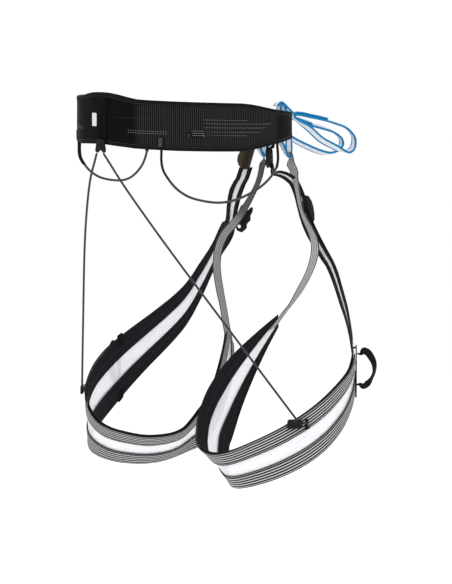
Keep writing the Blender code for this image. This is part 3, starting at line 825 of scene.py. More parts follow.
# lit and shaded copies of one webbing: the left copy has darker flecks, a painted shade, and painted shade
# over its top 95 mm
GREY = {"left": grey_webbing("grey_webbing_left", 95.0, 0.14, 0.65),
        "right": grey_webbing("grey_webbing_right", -30.0, 0.22, 0.85)}
SLING = sling_tape()
LINING = spacer_lining()
CORD = braided_cord("riser_cord", (0.012, 0.012, 0.014), (0.045, 0.045, 0.05))
SLEEVE = braided_cord("gear_sleeve", (0.012, 0.012, 0.013), (0.05, 0.05, 0.055), 2.4)
PLASTIC = plastic("black_plastic", (0.004, 0.004, 0.005), (0.016, 0.016, 0.018))
OLIVE = plastic("olive_plastic", (0.03, 0.021, 0.013), (0.075, 0.056, 0.038), 0.36)


# Fitting pieces to the frame

def replacing(piece, nodes):
    """Hides the CAD nodes that a piece stands for."""
    if nodes:
        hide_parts(*nodes)
    return piece


def fit(piece, body, slot, *nodes):
    """A piece that moves with one body and stands for some CAD nodes."""
    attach(piece, body)
    return replacing(piece, nodes)


def bend(piece, bodies, start, end, slot, *nodes):
    """A piece baked into place that stands for some CAD nodes; bodies, start and end are not used."""
    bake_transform(piece)
    return replacing(piece, nodes)


def plate_pose(node, face_hint, up_hint=None):
    """Centre, face direction and up direction of a flat CAD piece."""
    places, _ = node_places(node)
    centre = (places.min(0) + places.max(0)) / 2
    axes = np.linalg.svd(places - places.mean(0))[2]
    face = axes[2] * np.sign(axes[2] @ np.asarray(face_hint))
    up = np.asarray(up_hint if up_hint is not None else axes[0] * np.sign(axes[0][2]))
    return centre, face, unit(up - face * (up @ face))


# Waist belt

belt_low, belt_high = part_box("belt_shell")
BELT_RADIUS = (belt_high.x - belt_low.x) / 2
AXIS_Y = belt_high.y - BELT_RADIUS
SHELL_THICK = 2.0
LINER_RADIUS = (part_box("belt_liner")[1].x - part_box("belt_liner")[0].x) / 2 - 1.5 * MM
INNER_RADIUS = LINER_RADIUS - 1.5 * MM
belt_top, belt_bottom = sorted(long_sides("belt_shell", (0.02, -0.25, 0)), key=lambda s: -s[:, 2].mean())
# The belt stands higher on one side of the body: rise for each metre across
CANT = ((belt_top[belt_top[:, 0].argmax(), 2] - belt_top[belt_top[:, 0].argmin(), 2])
        / (belt_top[:, 0].max() - belt_top[:, 0].min()))
BELT_ANGLES = np.degrees(np.arctan2(-belt_top[:, 0], belt_top[:, 1] - AXIS_Y))
BELT_END = BELT_ANGLES.max()


def belt_outward(angle):
    """Level directions out of the belt; the angle runs from the centre back to the wearer's right."""
    turn = np.radians(angle)
    return np.stack([-np.sin(turn), np.cos(turn), 0 * turn], axis=-1)


def belt_place(angle, height, radius=BELT_RADIUS):
    place = belt_outward(angle) * radius + (0, AXIS_Y, 0)
    place[:, 2] = height + CANT * place[:, 0]
    return place


def belt_edges(angle):
    """Heights of the belt's top and bottom edges, rounded off at its two front ends."""
    top, bottom = (np.interp(angle, BELT_ANGLES, line[:, 2] - CANT * line[:, 0])
                   for line in (belt_top, belt_bottom))
    drop = corner_drop(np.radians(BELT_END - np.abs(angle)) * BELT_RADIUS, 8.0 * MM)
    return top - drop, bottom + drop


def belt_patch(name, angles, top, bottom, radius, thick, material, corner=0.0, **options):
    """A curved patch on the belt between two heights, with rounded corners."""
    from_end = np.radians(np.minimum(abs(angles - angles[0]), abs(angles - angles[-1]))) * radius
    drop = corner_drop(from_end, corner * MM)
    return tape(name, belt_place(angles, top - drop, radius), belt_place(angles, bottom + drop, radius),
                thick, material, **options)


def belt_row(knots, out):
    """A line on the belt's face through (angle, height in millimetres) knots, with its normals."""
    knots = np.array(knots, dtype=float)
    at = np.linspace(0, len(knots) - 1, 14 * len(knots))
    angle, height = read_line(at, np.arange(len(knots)), knots).T
    return belt_place(angle, height * MM, BELT_RADIUS + out * MM), belt_outward(angle)


# Stitched rows on each side of the cover: height in millimetres, and angles from the centre back
STITCH_ROWS = ((4.4, 58.5, 83), (0.2, 58.5, 101), (-4.3, 58.5, 97), (-9.3, 58.5, 92), (-13.1, 58.5, 83))


def belt_relief(u, share):
    """The cover dips along its stitched rows and swells a little between them."""
    angle = np.abs(np.degrees(u / BELT_RADIUS) - BELT_END)
    top, bottom = belt_edges(angle)
    height = (top + (bottom - top) * share) / MM
    dip = 0.0
    for level, start, stop in STITCH_ROWS:
        zone = np.clip((angle - start + 2) / 3, 0, 1) * np.clip((stop + 3 - angle) / 6, 0, 1)
        dip = dip + zone * np.exp(-((height - level) / 1.1) ** 2)
    swell = 0.25 * np.sin(u / MM / 31.0 + 1.0) * np.sin(height / 9.0)
    return (-0.45 * dip + 0.5 + swell * 0.6) * MM


END_SHARES = np.array((0.988, 0.993, 0.996, 0.9985, 0.9995, 1)) * BELT_END
cover_angles = np.concatenate([-END_SHARES[::-1], np.linspace(2.6 - BELT_END, BELT_END - 2.6, 420),
                               END_SHARES])
COVER_RADIUS = BELT_RADIUS - SHELL_THICK / 2 * MM
# The ribbed weave: the centre back's distance along the cover, and how far from there it starts and stops
RIBBED = (np.radians(BELT_END) * COVER_RADIUS / MM, 54.0314, 238.6387)
# its light colour is a painted highlight on the rib crests of a fully black belt
BELT_WEAVE = woven_black("belt_weave", 2.4, 1.5, (0.0008, 0.0008, 0.0011), (0.045, 0.045, 0.048),
                         width=44.0, ribbed=RIBBED)
fit(belt_patch("belt_cover", cover_angles, *belt_edges(cover_angles), COVER_RADIUS, SHELL_THICK,
               BELT_WEAVE, inner=26, relief=belt_relief), "waist", "belt_fabric", "belt_shell")


def press_channels(spots):
    """The lining is a foam pad with two pressed channels on its inner face."""
    around = spots[:, :2] - (0, AXIS_Y)
    reach = np.linalg.norm(around, axis=1)
    level = spots[:, 2] - CANT * spots[:, 0]
    inside = np.clip((LINER_RADIUS - reach) / MM, 0, 1)
    pressed = np.clip(reach, None, BELT_RADIUS - (SHELL_THICK + 0.1) * MM)
    for channel in (7.5 * MM, -8.5 * MM):
        pressed = pressed + inside * 0.9 * MM * np.exp(-((level - channel) / (1.6 * MM)) ** 2)
    spots[:, :2] = around * (pressed / reach)[:, None] + (0, AXIS_Y)
    return spots


liner_angles = np.linspace(0.6 - BELT_END, BELT_END - 0.6, 300)
liner_top, liner_bottom = belt_edges(liner_angles)
lining = belt_patch("belt_lining", liner_angles, liner_top - 1.0 * MM, liner_bottom + 1.0 * MM,
                    LINER_RADIUS, 2.6, LINING, inner=12)
fit(puff(lining, press_channels, LINING, voxel=2.0, pressure=3.0, cap=0.8), "waist", "pad_foam", "belt_liner")

# Edge tape: a folded section carried round the belt's outline
angles = np.linspace(-BELT_END, BELT_END, 1200)
around = np.radians(angles) * BELT_RADIUS
top, bottom = (np.stack([around, edge], axis=1) for edge in belt_edges(angles))
outline = np.concatenate([top, bottom[::-1]])
at = run_length(outline, closed=True)
outline = read_line(np.linspace(0, at[-1], 760, endpoint=False), at, np.concatenate([outline, outline[:1]]))
ahead = unit(np.roll(outline, -2, axis=0) - np.roll(outline, 2, axis=0))
edge_angle, edge_height = np.degrees(outline[:, 0] / BELT_RADIUS), outline[:, 1]
radial = belt_outward(edge_angle)
round_belt = np.cross(UP, radial)
away = unit(UP * ahead[:, :1] - round_belt * ahead[:, 1:])
half = (BELT_RADIUS - INNER_RADIUS) / 2 / MM
FOLD, FOLD_LEG = 0.7, 4.0
fold = [(half + FOLD, -FOLD_LEG), (half + FOLD, 0.0), (half + 0.4 * FOLD, 0.9), (0.6 * half, 1.6),
        (-0.6 * half, 1.6), (-half - 0.4 * FOLD, 0.9), (-half - FOLD, 0.0), (-half - FOLD, -FOLD_LEG),
        (-half - 0.1, -FOLD_LEG - 0.2), (-half, -0.4), (half, -0.4), (half + 0.1, -FOLD_LEG - 0.2)]
edging = sweep("belt_edge_tape", belt_place(edge_angle, edge_height, (BELT_RADIUS + INNER_RADIUS) / 2),
               (radial, away), np.array(fold) * MM, BINDING, run_length(outline, closed=True))
fit(edging, "waist", "binding", "belt_binding_top", "belt_binding_bottom")
seams = [(belt_place(edge_angle, edge_height, radius + way * FOLD * MM) - away * 2.8 * MM, way * radial)
         for radius, way in ((BELT_RADIUS, 1), (INNER_RADIUS, -1))]
fit(stitches("belt_edge_stitches", seams, "edge", THREAD_BLACK), "waist", "binding")

# Stitched rows, bar tacks and seams on the cover; PROUD is the cover's relief
PROUD = 0.45
rows, dots, bars = [], [], []
for word, side in SIDES:
    rows += [belt_row([(-side * a, h), (-side * (a + b) / 2, h), (-side * b, h)], PROUD - 0.35)
             for h, a, b in STITCH_ROWS]
    rows += [belt_row([(-side * a, h) for a in (18.5, 30, 41)], PROUD) for h in (-10.5, -13.0)]
    dots += [belt_row([(-side * a, h) for a, h in knots], PROUD)
             for knots in (((60, 12.5), (60, 0), (60, -17)), ((9, 3.5), (22, 3.7), (36, 3.0)))]
fit(stitches("belt_cover_stitches", rows, "cover", THREAD_GREY), "waist", "belt_fabric")
fit(stitches("belt_seam_stitches", dots, "seam", THREAD_DIM), "waist", "belt_fabric")

# Rear panel with its piping and plain patch
panel_angles = np.linspace(-17, 5, 40)
panel_top, panel_bottom = belt_edges(panel_angles)
panel_radius = (BELT_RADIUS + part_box("rear_panel")[1].y - AXIS_Y) / 2
PANEL_CLOTH = woven_black("panel_cloth", 0.9, 0.9, (0.0015, 0.0015, 0.002), (0.009, 0.009, 0.01),
                          width=44.0, twill=0.5)
fit(belt_patch("rear_cover_panel", panel_angles, panel_top - 3.2 * MM, panel_bottom + 3.2 * MM,
               panel_radius, 1.2, PANEL_CLOTH, corner=3.0, inner=14, bulge=0.4),
    "waist", "belt_fabric", "rear_panel")
pipe_line, _ = belt_row([(6, 23), (6.5, 19), (1.7, 12), (0.6, 0.7), (0.6, -16), (2, -22)], 1.9)
fit(cord("rear_piping", pipe_line[::4], 0.6, BINDING, samples=70), "waist", "belt_fabric")
fit(belt_patch("rear_patch", np.linspace(-6.0, -2.0, 18), 7.0 * MM, -8.5 * MM,
               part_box("rear_badge")[1].y - AXIS_Y - 0.2 * MM, 0.8, badge_rubber(), corner=1.6, inner=8),
    "waist", "badge", "rear_badge")

for word, side in SIDES:
    middle = box_middle(f"{word}_clipper_slot")
    mid = middle[2] - CANT * middle[0]
    fit(belt_patch(f"{word}_clip_bar", np.linspace(-side * 50.3, -side * 59.7, 20), mid + 3.0 * MM,
                   mid - 3.0 * MM, BELT_RADIUS + 0.9 * MM, 1.0, WEBBING, corner=0.8, inner=6),
        "waist", "black_webbing", f"{word}_clipper_slot")
    bars += [belt_row([(-side * at, mid / MM + h) for h in (-2.7, 0, 2.7)], 1.55) for at in (51.2, 58.8)]
    bars += [belt_row([(-side * 53, h), (-side * 59, h)], out)
             for h, out in ((-8.5, PROUD), (-11.0, 1.55), (-13.5, 1.55))]
fit(stitches("clip_bar_tacks", bars, "bar", THREAD_GREY), "waist", "black_webbing")

# The pad at the back lies flat on its inner face
_, pad_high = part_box("lumbar_pad")
pad_x, pad_z = np.meshgrid(np.linspace(-1, 1, 24), np.linspace(-1, 1, 22))
round_x = pad_x * np.sqrt(1 - 0.12 * pad_z ** 2) * (pad_high.x - 0.8 * MM)
round_z = pad_z * np.sqrt(1 - 0.12 * pad_x ** 2) * (pad_high.z - 0.8 * MM)
outer_y = AXIS_Y + np.sqrt((INNER_RADIUS - 0.7 * MM) ** 2 - round_x ** 2)
full = np.clip((1 - np.maximum(abs(pad_x), abs(pad_z))) / 0.16, 0, 1) ** 0.5
rim_y = (1 - full) * (outer_y + 0.5 * MM) / 2
pad = grid_shell("lumbar_cushion", np.stack([round_x, 0.5 * MM * full + rim_y, round_z], axis=-1),
                 np.stack([round_x, outer_y * full + rim_y, round_z], axis=-1),
                 np.linspace(0, 0.044, 24), np.linspace(0, 1, 22), LINING)
fit(puff(pad, lambda spots: np.maximum(spots, (-np.inf, 0, -np.inf)), LINING, voxel=1.6, pressure=4.0,
         cap=0.7), "waist", "pad_foam", "lumbar_pad")


# Slings at the front

# The tie-in eyes twist towards the wearer's right, and their two limbs close up by a share
EYE_TURN = (0, 0, 0, 0, 18, 42, 45, 25, 8, 0, 0)
EYE_CLOSE = 0.55
# Share of its height that the top of each eye loses, pressed down under the belt's edge
CROWN_PRESS = {"left": 0.5, "right": 0.15}
# Columns that a belay sling's ends lie over each other, and how far its root sags in millimetres
SLING_LAP = {"left": 50, "right": 58}
SLING_SAG = {"left": 0.5, "right": 6.0}
SLING_THICK = 2.6


def tacked_ring(word, kind, sides, body, node, first, last):
    """A sling and the blue tacking that runs to and fro across it between two of its columns."""
    ring = tape(f"{word}_{kind}_ring", *sides, SLING_THICK, SLING, closed=True, inner=9, bulge=0.25)
    fit(ring, body, "sling_tape", node)
    if kind == "belay" and sides[0][30, 2] < sides[0][-30, 2]:
        sides = [line[::-1] for line in sides]
    rows = [tape_row(*sides, share, 1.2, closed=True) for share in (0.2, 0.8)]
    lines = []
    for k in range(first, last):
        (here, here_up), (there, there_up) = rows if k % 2 else rows[::-1]
        lines.append((np.array([here[k], there[k + 1]]), np.array([here_up[k], there_up[k + 1]])))
    fit(stitches(f"{word}_{kind}_tack", lines, "sling", THREAD_BLUE), body, "sling_tape")
    return sides


for word, side in SIDES:
    node = f"{word}_tie_in_sling"
    sides = [refine(line, 150, closed=True) for line in ring_sides(node, (side * 0.023, -0.24, 0.01))]
    sides = turned(*sides, EYE_TURN, closed=True)
    brim = max(line[:, 2].max() for line in sides) - 10 * MM
    beside = (sides[0] + sides[1]) / 2 @ LEFTWARD
    drift = (beside[np.argmin(sides[0][:, 2])] - beside)[:, None] * EYE_CLOSE * LEFTWARD
    sides = [line + drift - CROWN_PRESS[word] * np.maximum(line[:, 2:] - brim, 0) * UP for line in sides]
    crown = (sides[0] + sides[1])[np.argmax(sides[0][:, 2])] / 2
    tacked_ring(word, "tie_in", sides, "waist", node, 10, 26)

    # the belay sling sags at its root, and its two ends are sewn over each other on its upper side
    node, body = f"{word}_belay_sling", f"{word}_belay"
    sides = [refine(line, 220, closed=True) for line in ring_sides(node, (side * 0.022, -0.28, 0.008))]
    for line in sides:
        near_root = np.clip(1 - (line[:, 1].max() - line[:, 1]) / (70 * MM), 0, 1)
        line[:, 2] -= SLING_SAG[word] * MM * near_root ** 2
    sides = tacked_ring(word, "belay", sides, body, node, 8, 30)
    upper = [tape_row(*sides, share, 2.9, closed=True)[0][2:SLING_LAP[word]:6] for share in (0, 1)]
    half = (upper[1][0] - upper[0][0]) / 2
    root = [crown + (0, 0.009, -0.001), crown + (0, 0.002, 0.003),
            (crown + (upper[0][0] + upper[1][0]) / 2 + (0, 0, 0.002)) / 2]
    lines = [np.concatenate([[place + way * half for place in root], line])
             for line, way in zip(upper, (-1, 1))]
    layer = cut_tape(f"{word}_sling_root", *lines, 80, SLING_THICK, SLING, outward=UP, inner=9)
    bend(layer, ("waist", body), root[1], lines[0][4], "sling_tape")


# Gear loops

for word, side in SIDES:
    webs = [f"{word}_gear_loop_{place}_web" for place in ("rear", "front")]
    tops = [np.array((*box_middle(web)[:2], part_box(web)[1].z)) for web in webs]
    chord, middle = unit(tops[1] - tops[0]), (tops[0] + tops[1]) / 2
    line = tube_line(f"{word}_gear_loop_sleeve",
                     lambda p: math.atan2(middle[2] + 0.01 - p[2], -(p - middle) @ chord) % 6.28)
    fit(cord(f"{word}_gear_cord", lengthened(line, 4.0, 4.0), 1.5, SLEEVE, samples=110), f"{word}_gear",
        "sleeve", f"{word}_gear_loop_sleeve")
    for place, web, top in zip(("rear", "front"), webs, tops):
        # each web carries on up under the belt's edge
        sides = [np.concatenate([[line[0] + UP * up * MM for up in (9.0, 6.0, 3.0)], line])
                 for line in long_sides(web, top)]
        bend(cut_tape(f"{word}_gear_web_{place}", *sides, 40, 1.6, WEBBING), ("waist", f"{word}_gear"),
             top + 1.0 * MM * UP, top - 3.0 * MM * UP, "black_webbing", web)
    tack_low, tack_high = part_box(f"{word}_gear_loop_tack")
    cant = CANT * (tack_low.x + tack_high.x) / 2
    low, high = tack_low.z - cant, tack_high.z - cant
    fit(belt_patch(f"{word}_gear_tack", np.linspace(-side * 35, -side * 39, 14), high, low,
                   BELT_RADIUS + 0.9 * MM, 0.8, WEBBING, corner=0.8, inner=5),
        "waist", "black_webbing", f"{word}_gear_loop_tack")
    marks = [belt_row([(-side * 35.5, h), (-side * 38.5, h)], 1.35)
             for h in np.linspace(low / MM + 1.4, high / MM - 1.4, 6)]
    fit(stitches(f"{word}_gear_tack_stitches", marks, "gear", THREAD_GREY), "waist", "black_webbing")


# Leg loops

PIVOTS = {joint["name"]: np.array(joint["pos_m"]) for joint in frame["joints"]}
# Twists in degrees, evenly spaced along the front webbing, the free loop and each band
FRONT_TURN = {"left": (35, 64, 64, 50, 30, 18, 20, 10, 0, 0, 0),
              "right": (0, 12, 30, 58, 66, 40, 8, 0, 0, 0, 0)}
LOOP_TURN = (0, 25, 64, 56, 36, 18, 20, 60, 36, 0)
BAND_TURN = {"left": (0, 0), "right": (-8, -30, -42, -46, -46, -42, -38, -30, -18, -6) + (0,) * 11}
# The front webbing is sewn round the tie-in eye: places in millimetres from its top end
EYE_WRAP = np.array([(0, 5.0, 13.4), (0, 3.6, 14.4), (0, 1.5, 13), (0, -1, 7)])
# Half the width of a band at its toggle, how far it laps over it, both in millimetres
BAND_HEAD, BAND_LAP = 8.5, 2.0
# Height in millimetres a band gains at its toggle, and how far along it that fades
BAND_RISE = {"left": (0.0, 30.0), "right": (6.5, 28.0)}
# The front webbing's drift to the photograph's left: most, where along it, and over what length, in mm
FRONT_DRIFT = {"left": (4.0, 32.0, 35.0), "right": (6.5, 98.0, 38.0)}
# Step between the layers of a band in millimetres, and the shares of its width that they cover
BAND_STEP = 1.6
UPPER, NET_SHARES, LOWER = (0.0, 0.34), (0.17, 0.83), (0.66, 1.0)
# Layers of a band: name, CAD node, shares, whether it is outside, steps out, thickness, looks, inner rows
LAYERS = (("inner_upper", "inner_upper_tape", UPPER, False, 0, 1.2, LEG_TAPE, "black_webbing", 5),
          ("inner_lower", "inner_lower_tape", LOWER, False, 0, 1.2, LEG_TAPE, "black_webbing", 5),
          ("net", "mesh", NET_SHARES, False, 1, 0.8, NET, "white_mesh", 12),
          ("outer_upper", "outer_upper_tape", UPPER, True, 2, 1.2, STRIPED, "striped_tape", 9),
          ("outer_lower", "outer_lower_tape", LOWER, True, 2, 1.2, STRIPED, "striped_tape", 9))
# Stitches of a band: place, shares of the width, outside, columns, thread and slot
BAND_STITCHES = (("inner", (0.19, 0.32, 0.68, 0.81), False, 400, THREAD_DIM, "black_webbing"),
                 ("outer", (0.05, 0.31, 0.69, 0.95), True, 260, THREAD_BLACK, "striped_tape"))
# Shares of the band's width, and heights over its inner tapes in millimetres, of a strap across it
CROSSING = ((0.14, -1.5), (0.02, -1.6), (-0.03, 0.0), (-0.03, 3.0), (0.04, 4.7), (0.3, 4.7), (0.5, 4.6),
            (0.7, 4.7), (0.96, 4.7), (1.03, 3.0), (1.03, 0.0), (0.98, -1.6), (0.86, -1.5))
# A strap is narrower than its CAD node by this share on each side, and lies lower by millimetres
STRAP_NARROW, STRAP_SINK = 0.15, 1.3
# The right strap's folded ends: millimetres past its end and off its face
STRAP_WRAP = ((0.9, -0.6), (0.9, -3.0), (0.0, -4.2), (-6.0, -4.4))


def band_edges(word, side):
    """The upper and lower edges of a leg band, read from its inner tapes, from the toggle on."""
    root = np.array((*box_middle(f"{word}_leg_toggle")[:2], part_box(f"{word}_leg_toggle")[0].z))
    pairs = [long_sides(f"{word}_leg_inner_{part}_tape", root) for part in ("upper", "lower")]
    middles = [(a + b) / 2 for a, b in pairs]
    edges = [max(pair, key=lambda line: np.linalg.norm(line - other, axis=1).mean())
             for pair, other in zip(pairs, middles[::-1])]
    half = LEFTWARD * (side, 1, 1) * BAND_HEAD * MM
    flip = 1 if (edges[0][0] - edges[1][0]) @ half > 0 else -1
    start = root + BAND_LAP * MM * UP
    edges = [np.concatenate([[start + flip * way * half], edge]) for edge, way in zip(edges, (1, -1))]
    rise, reach = BAND_RISE[word]
    lift = rise * MM * np.exp(-(run_length((edges[0] + edges[1]) / 2) / (reach * MM)) ** 2)
    return turned(*(edge + lift[:, None] * UP for edge in edges), BAND_TURN[word])


def share_lines(edges, shares, first, count):
    """The two sides of a layer: shares of the band's width, from one of its places to its end."""
    size = len(edges[0]) - 1
    at = np.linspace(first * size, size, count)
    fine = [smooth(edge, at) for edge in edges]
    return [fine[0] + (fine[1] - fine[0]) * share for share in shares]


def band_crossing(edges, near, half_width):
    """The two sides of a strap laid square across a band and folded over both its edges."""
    fine = [refine(edge, 900) for edge in edges]
    centre = (fine[0] + fine[1]) / 2
    at = int(np.argmin(np.linalg.norm(centre - near, axis=1)))
    step = max(1, round(half_width * MM / np.linalg.norm(centre[at + 1] - centre[at])))
    normal = normals_of(*fine)
    return [np.array([fine[0][k] + (fine[1][k] - fine[0][k]) * share + normal[k] * up * MM
                      for share, up in CROSSING]) for k in (at - step, at + step)]


def leg_band(word, side, edges, swing):
    """The tapes and the net of a leg band, with the stitches that hold them together."""
    leg, size = f"{word}_leg", len(edges[0]) - 1
    columns = len(long_sides(f"{leg}_outer_upper_tape", (0, 0, 0))[0])
    starts = {False: 0.0, True: (size - columns + 1) / size}
    for part, node, shares, outside, step, thick, material, slot, inner in LAYERS:
        first = starts[outside]
        sides = share_lines(edges, shares, first, int(330 * (1 - first)))
        lift = step * BAND_STEP * MM + wobble((sides[0] + sides[1]) / 2, side)
        piece = tape(f"{word}_band_{part}", *sides, thick, material, inner=inner, lift=lift)
        bend(piece, ("waist", leg), *swing, slot, f"{leg}_{node}")
    for place, shares, outside, columns, thread_look, slot in BAND_STITCHES:
        rows, way, out = [], 1 if outside else -1, 2 * BAND_STEP + 0.65 if outside else -0.65
        for share in shares:
            sides = share_lines(edges, (share - 0.01, share + 0.01), starts[outside], columns)
            lift = wobble((sides[0] + sides[1]) / 2, side)
            line, normal = tape_row(*sides, 0.5, out)
            rows.append((line + normal * lift[:, None], way * normal))
        bend(stitches(f"{word}_band_{place}_stitches", rows, "band", thread_look), ("waist", leg),
             *swing, slot)


def front_webbing(word, side, edges):
    """Webbing from the tie-in eye to the band's narrow end; returns its middle line."""
    leg = f"{word}_leg"
    side_a, side_b = long_sides(f"{leg}_front_webbing", PIVOTS[f"{word}_leg_swing"])
    centre, half = (side_a + side_b) / 2, (side_b - side_a) / 2
    middle = [(edges[0][-k] + edges[1][-k]) / 2 for k in (1, 2)]
    centre = np.concatenate([centre[0] + EYE_WRAP * (side, 1, 1) * MM, centre,
                             [middle[0], middle[0] + (middle[1] - middle[0]) * 0.5]])
    half = np.concatenate([[(4.6 * MM * np.sign(half[0][0]), 0, 0)] * len(EYE_WRAP), half, [half[-1]] * 2])
    sides = turned(*with_ends(centre - half, centre + half, 190, 1.6), FRONT_TURN[word])
    most, where, over = FRONT_DRIFT[word]
    at = run_length((sides[0] + sides[1]) / 2) / MM
    bow = most * MM * np.exp(-((at - where) / over) ** 2)[:, None] * LEFTWARD
    sides = [line + bow for line in sides]
    webbing = tape(f"{word}_front_strap", *sides, 1.6, GREY[word], outward=(0, -1, 0), inner=7)
    bend(webbing, ("waist", leg), *swing_zone(word, 58, 100), "grey_webbing", f"{leg}_front_webbing")
    return (sides[0] + sides[1]) / 2


def swing_zone(word, start, end):
    """Places straight under the hip, millimetres down."""
    return [PIVOTS[f"{word}_leg_swing"] * (1, 1, 0) - down * MM * UP for down in (start, end)]


def side_strap(word, side, edges):
    """The strap across a band, and the small free loop sewn to it."""
    leg = f"{word}_leg"
    sides = long_sides(f"{leg}_side_strap", (side * 0.2, -0.2, 0))
    if sides[0][0][2] < sides[0][-1][2]:
        sides = [line[::-1] for line in sides]
    middle, leg_middle = (sides[0] + sides[1]).mean(0) / 2, (side * 0.107, AXIS_Y - 0.052, 0)
    out = unit(middle * (1, 1, 0) - leg_middle)
    narrow = [near + (far - near) * STRAP_NARROW - out * STRAP_SINK * MM
              for near, far in (sides, sides[::-1])]
    if word == "left":
        lines = band_crossing(edges, middle - out * STRAP_SINK * MM, 4.5)
    else:
        lines = [np.concatenate([[line[0] + (UP * up + out * step) * MM for up, step in STRAP_WRAP[::-1]],
                                 line, [line[-1] - (UP * up - out * step) * MM for up, step in STRAP_WRAP]])
                 for line in narrow]
    strap = cut_tape(f"{word}_band_strap", *lines, 60, 1.2, WEBBING, outward=out)
    fit(strap, leg, "black_webbing", f"{leg}_side_strap")
    sides = long_sides(f"{leg}_side_loop", narrow[0][0])
    if word == "left":
        # the far loop hangs lower, behind its band
        level = (sides[0][:, 2].mean() + sides[1][:, 2].mean()) / 2
        sides = [line - (line - (0, 0, level)) * (0, 0, 0.28) for line in sides]
    lines = [np.concatenate([[line[0] - (out * 5.0 - 0.5 * UP) * MM, line[0] - out * 4.0 * MM], line,
                             [line[-1] - out * 4.0 * MM, line[-1] - (out * 5.0 + 0.5 * UP) * MM]])
             for line in sides]
    loop = tape(f"{word}_free_loop", *turned(*with_ends(*lines, 90, 1.8), LOOP_TURN), 1.8, WEBBING)
    root = (sides[0][0] + sides[1][0]) / 2
    bend(loop, (leg, f"{word}_side_loop"), root - out * 3.0 * MM, root + out * 2.5 * MM,
         "black_webbing", f"{leg}_side_loop")


front_line = {}
for word, side in SIDES:
    leg = f"{word}_leg"
    edges = band_edges(word, side)
    leg_band(word, side, edges, swing_zone(word, 70, 105))
    front_line[word] = front_webbing(word, side, edges)
    line = lengthened(tube_line(f"{word}_riser", lambda p: -p[2]), 5.0, 4.0)
    bend(cord(f"{word}_riser_cord", line, 1.35, CORD, samples=200), ("waist", leg), line[0], line[-1], "cord",
         f"{word}_riser")
    fit(cut_tape(f"{word}_keeper", *long_sides(f"{leg}_riser_keeper", (0, 0, 0)), 16, 1.0, WEBBING,
                 outward=(side, 0, 0), inner=3), leg, "black_webbing", f"{leg}_riser_keeper")
    side_strap(word, side, edges)
    fit(cut_tape(f"{word}_toggle_tape", *long_sides(f"{leg}_toggle_tab", (side * 0.03, -0.24, -0.02)),
                 20, 1.8, WEBBING, outward=(side, -0.5, 0), inner=4),
        "waist", "black_webbing", f"{leg}_toggle_tab")


# Moulded parts, with outlines in millimetres

HOOK_OUTLINE = {
    "left": [(-6.5, -11), (-3.5, -15.5), (2.5, -15), (5.5, -11.5), (7.5, -4), (7.8, 6), (7, 14), (5, 16.5),
             (3, 15.5), (1.8, 12), (-2.5, 11.5), (-4.5, 16), (-7, 16.5), (-8.3, 12), (-7.2, 6),
             (-8.6, 3.5), (-8.6, 0), (-7, -2), (-6.3, -5), (-7.6, -8)],
    "right": [(-4.5, -16.5), (3, -17), (6.2, -14.5), (7.2, -7), (7, 2), (5.6, 9), (2.4, 15.4), (-1, 17),
              (-4, 15.4), (-6.2, 8), (-6.8, 0), (-7, -4), (-9.6, -4.6), (-10, -6.6), (-7.4, -7.6),
              (-7.4, -9.6), (-9.4, -10.4), (-9.4, -12.6), (-6.6, -13.4)]}
HOOK_FACE = np.array((-0.74, 0.67, 0.1))
# Millimetres beside, off and up the strap, then the hook's width and height and its lean in degrees
HOOK_SHIFT = {"left": (7.0, 2.5, 0.0, 1.1, 1.1, 6.0), "right": (8.0, -1.0, 4.0, 1.3, 1.05, 14.0)}
HOOK_RIBS = [(9.0, 1.5, 0.7, 0, 6.0), (10.0, 1.5, 0.7, 0, 1.5), (9.5, 1.5, 0.7, 0, -3.0)]
TOGGLE_OUTLINE = {
    "left": [(-11.4, 12.5), (-9, 4), (-6.5, -5), (-4.7, -11.5), (-2, -12.6), (6.5, -11.8), (9.5, -8.5),
             (11.4, -2), (10.4, 4), (6.7, 10.5), (4, 12.2)][::-1],
    "right": rounded(20, 25, 6)}
TOGGLE_LOOK = {"left": (OLIVE, "olive_plastic"), "right": (PLASTIC, "black_plastic")}
TOGGLE_BARS = [(13, 2.8, 1.3, -2.0, 5.5), (15, 2.8, 1.3, 0.0, -0.5), (13, 2.8, 1.3, 1.5, -6.5)]
# The lacing over each face of a toggle: millimetres up, across and off the block, and half its width
LACE_KNOTS = ((-13.0, 0.6, 1.2), (-11.5, 1.0, 2.8), (-8.0, 1.2, 3.6), (8.0, -2.0, 3.4), (12.5, -3.2, 2.0))
LACE_HALF = np.interp(np.arange(7), (0, 2, 3, 5), (5.18, 3.108, 3.33, 6.66))[:, None]
PLATE_RIBS = [(14, 1.3, 0.6, 0, -0.8), (12.5, 1.3, 0.6, 0, -3.2)]

